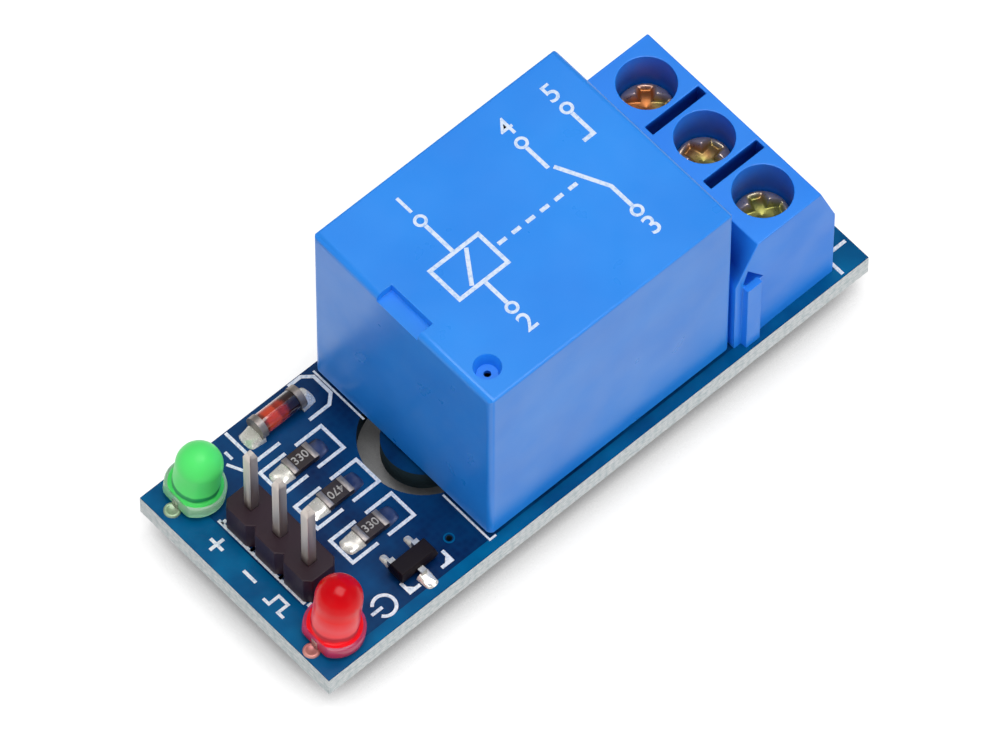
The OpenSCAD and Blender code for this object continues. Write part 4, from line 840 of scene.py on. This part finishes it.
def relay_print():
    """Connection diagram on the relay: coil, changeover contact and plain pin numbers. Its points are in mm
    from the middle of the relay's top."""
    work = bmesh.new()
    low, high = (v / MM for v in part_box("relay_cover"))
    cx, cy, z = (low.x + high.x) / 2, (low.y + high.y) / 2, high.z
    thick, line, ring, digit = 0.006, 0.27, 0.34, 1.35

    def draw(*points, closed=False):
        stroke(work, [(cx + x, cy + y) for x, y in points], line, z, closed, thick)

    def terminal(x, y, number, up):
        stroke(work, arc(cx + x, cy + y, ring, 0, 345, 24), 0.2, z, closed=True, thick=thick)
        numeral(work, number, cx + x, cy + y + (digit if up else -digit), z, digit, thick=thick)

    # the coil, its two leads and the bar that marks a coil
    draw((-6.2, -1.3), (-2.4, -1.3), (-2.4, 1.3), (-6.2, 1.3), closed=True)
    draw((-5.045, -1.08), (-3.555, 1.08))
    draw((-4.3, 1.44), (-4.3, 3.79))
    draw((-4.3, -1.44), (-4.3, -3.29))
    terminal(-4.3, 4.24, "1", True)
    terminal(-4.3, -3.74, "2", False)
    # the dashed link from the coil to the blade
    for k in range(6):
        draw((-2.0 + 1.12 * k, 0), (-1.36 + 1.12 * k, 0))
    # the changeover contact
    draw((5.6, -3.29), (5.6, -1.5), (4.0, 1.75))
    terminal(5.6, -3.74, "3", False)
    draw((3.7, 1.9), (3.7, 3.79))
    terminal(3.7, 4.24, "4", True)
    draw((7.3, 3.79), (7.3, 1.9), (6.5, 1.9))
    terminal(7.3, 4.24, "5", True)
    piece_from(work, "relay_print", RELAY_INK, smooth=False)


def chip_print():
    """Plain numerals on the chip resistors."""
    work = bmesh.new()
    for i, text in ((1, "330"), (2, "470"), (3, "330")):
        low, high = (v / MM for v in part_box(f"resistor_{i}_body"))
        numeral(work, text, (low.x + high.x) / 2, (low.y + high.y) / 2, high.z, 0.55, 0 if i != 2 else 180)
    piece_from(work, "chip_numerals", CHIP_INK, smooth=False)


board_copper()
board_print()
relay_print()
chip_print()


# ---------------------------------------------------------------- stage, lamps and camera

def studio_floor():
    """Pale floor: it lights the object a little, looks white where no shadow falls, and keeps the shadow,
    deepened by a painted shadow where the object covers it.
    """
    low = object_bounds()[0]
    half_width, gap = 1.5, 0.0001
    mesh = bpy.data.meshes.new("floor")
    work = bmesh.new()
    bmesh.ops.create_grid(work, x_segments=1, y_segments=1, size=half_width)
    work.to_mesh(mesh)
    work.free()
    floor = bpy.data.objects.new("floor", mesh)
    bpy.context.scene.collection.objects.link(floor)
    floor.location.z = low.z - gap
    material = bpy.data.materials.new("matt_white_card")
    material.use_nodes = True
    tree = material.node_tree
    out = tree.nodes["Material Output"]
    tree.nodes.remove(tree.nodes["Principled BSDF"])
    seen = add(tree, "Math", {0: add(tree, "LightPath", out="Is Camera Ray"),
                              1: add(tree, "LightPath", out="Is Glossy Ray")}, operation="MAXIMUM")
    seen = add(tree, "Math", {0: seen, 1: add(tree, "LightPath", out="Is Transmission Ray")},
               operation="MAXIMUM")
    dull = add(tree, "BsdfDiffuse", {"Color": srgb("#A5A5A5")})
    card = add(tree, "BsdfDiffuse", {"Color": srgb("#8E8E8E")})
    # the emission that keeps the card white stops where the object covers it: a painted shadow under and
    # beside the object
    open_sky = add(tree, "AmbientOcclusion", {"Distance": 0.007}, "AO", samples=8)
    level = add(tree, "MapRange", {"Value": open_sky, "From Min": 0.18, "From Max": 0.75, "To Max": 0.85},
                "Result")
    painted_glow = add(tree, "Emission", {"Color": srgb("#FFFFFF"), "Strength": level})
    shown = add(tree, "AddShader", {0: card, 1: painted_glow})
    tree.links.new(add(tree, "MixShader", {0: seen, 1: dull, 2: shown}), out.inputs["Surface"])
    mesh.materials.append(material)


def studio_world():
    """Soft light from all round, and a white background."""
    world = bpy.data.worlds.new("pale studio")
    bpy.context.scene.world = world
    world.use_nodes = True
    tree = world.node_tree
    back = tree.nodes["Background"]
    seen = add(tree, "Math", {0: add(tree, "LightPath", out="Is Camera Ray"),
                              1: add(tree, "LightPath", out="Is Transmission Ray")}, operation="MAXIMUM")
    # polished parts see pale walls and a dimmer ceiling
    up = add(tree, "SeparateXYZ", {0: add(tree, "TexCoord", out="Generated")}, "Z")
    walls = add(tree, "MapRange", {"Value": up, "From Min": 0.15, "From Max": 0.75, "To Min": 0.40,
                                   "To Max": 0.22}, "Result")
    soft = add(tree, "Mix", {0: add(tree, "LightPath", out="Is Glossy Ray"), 2: 0.28, 3: walls})
    level = add(tree, "Mix", {0: seen, 2: soft, 3: 1.0})
    back.inputs["Color"].default_value = srgb("#FFFFFF")
    tree.links.new(level, back.inputs["Strength"])


def soft_lamp(name, azimuth, elevation, size, watts, mirrored=True):
    """A square soft box that faces the object, by its direction in degrees and its size in metres. It may
    stay out of the object's reflections."""
    data = bpy.data.lights.new(name, "AREA")
    data.size, data.energy = size, watts
    lamp_object = bpy.data.objects.new(name, data)
    lamp_object.visible_glossy = mirrored
    bpy.context.scene.collection.objects.link(lamp_object)
    a, e = math.radians(azimuth), math.radians(elevation)
    way = Vector((math.cos(a) * math.cos(e), math.sin(a) * math.cos(e), math.sin(e)))
    lamp_object.location = way * LAMP_DISTANCE
    lamp_object.rotation_euler = (-way).to_track_quat("-Z", "Y").to_euler()


# every soft box stands this far from the object, in metres
LAMP_DISTANCE = 0.7

studio_floor()
studio_world()
soft_lamp("overhead soft box", -70, 86, 0.5, 3.0)
soft_lamp("side soft box", -72, 22, 0.45, 1.55, mirrored=False)
soft_lamp("end soft box", -172, 24, 0.45, 1.4, mirrored=False)

# the view: its direction and roll in degrees, its distance in metres, its lens in mm, and where it aims
VIEW_AZIMUTH, VIEW_ELEVATION, VIEW_ROLL = 47.576, 59.278, 0.244
VIEW_DISTANCE, LENS_LENGTH = 0.72788, 439.8
VIEW_AIM = Vector((-0.194 * MM, 0.355 * MM, TOP * MM))

camera_data = bpy.data.cameras.new("camera")
camera_data.lens, camera_data.sensor_width = LENS_LENGTH, 36.0
camera_data.clip_start, camera_data.clip_end = 0.01, 20.0
camera = bpy.data.objects.new("camera", camera_data)
bpy.context.scene.collection.objects.link(camera)
azimuth, elevation = math.radians(VIEW_AZIMUTH), math.radians(VIEW_ELEVATION)
look = Vector((math.cos(azimuth) * math.cos(elevation), math.sin(azimuth) * math.cos(elevation),
               -math.sin(elevation)))
roll = Matrix.Rotation(math.radians(VIEW_ROLL), 4, "Z").to_quaternion()
camera.rotation_mode = "QUATERNION"
camera.rotation_quaternion = look.to_track_quat("-Z", "Y") @ roll
camera.location = VIEW_AIM - look * VIEW_DISTANCE
bpy.context.scene.camera = camera

bpy.context.scene.view_settings.view_transform = "Standard"
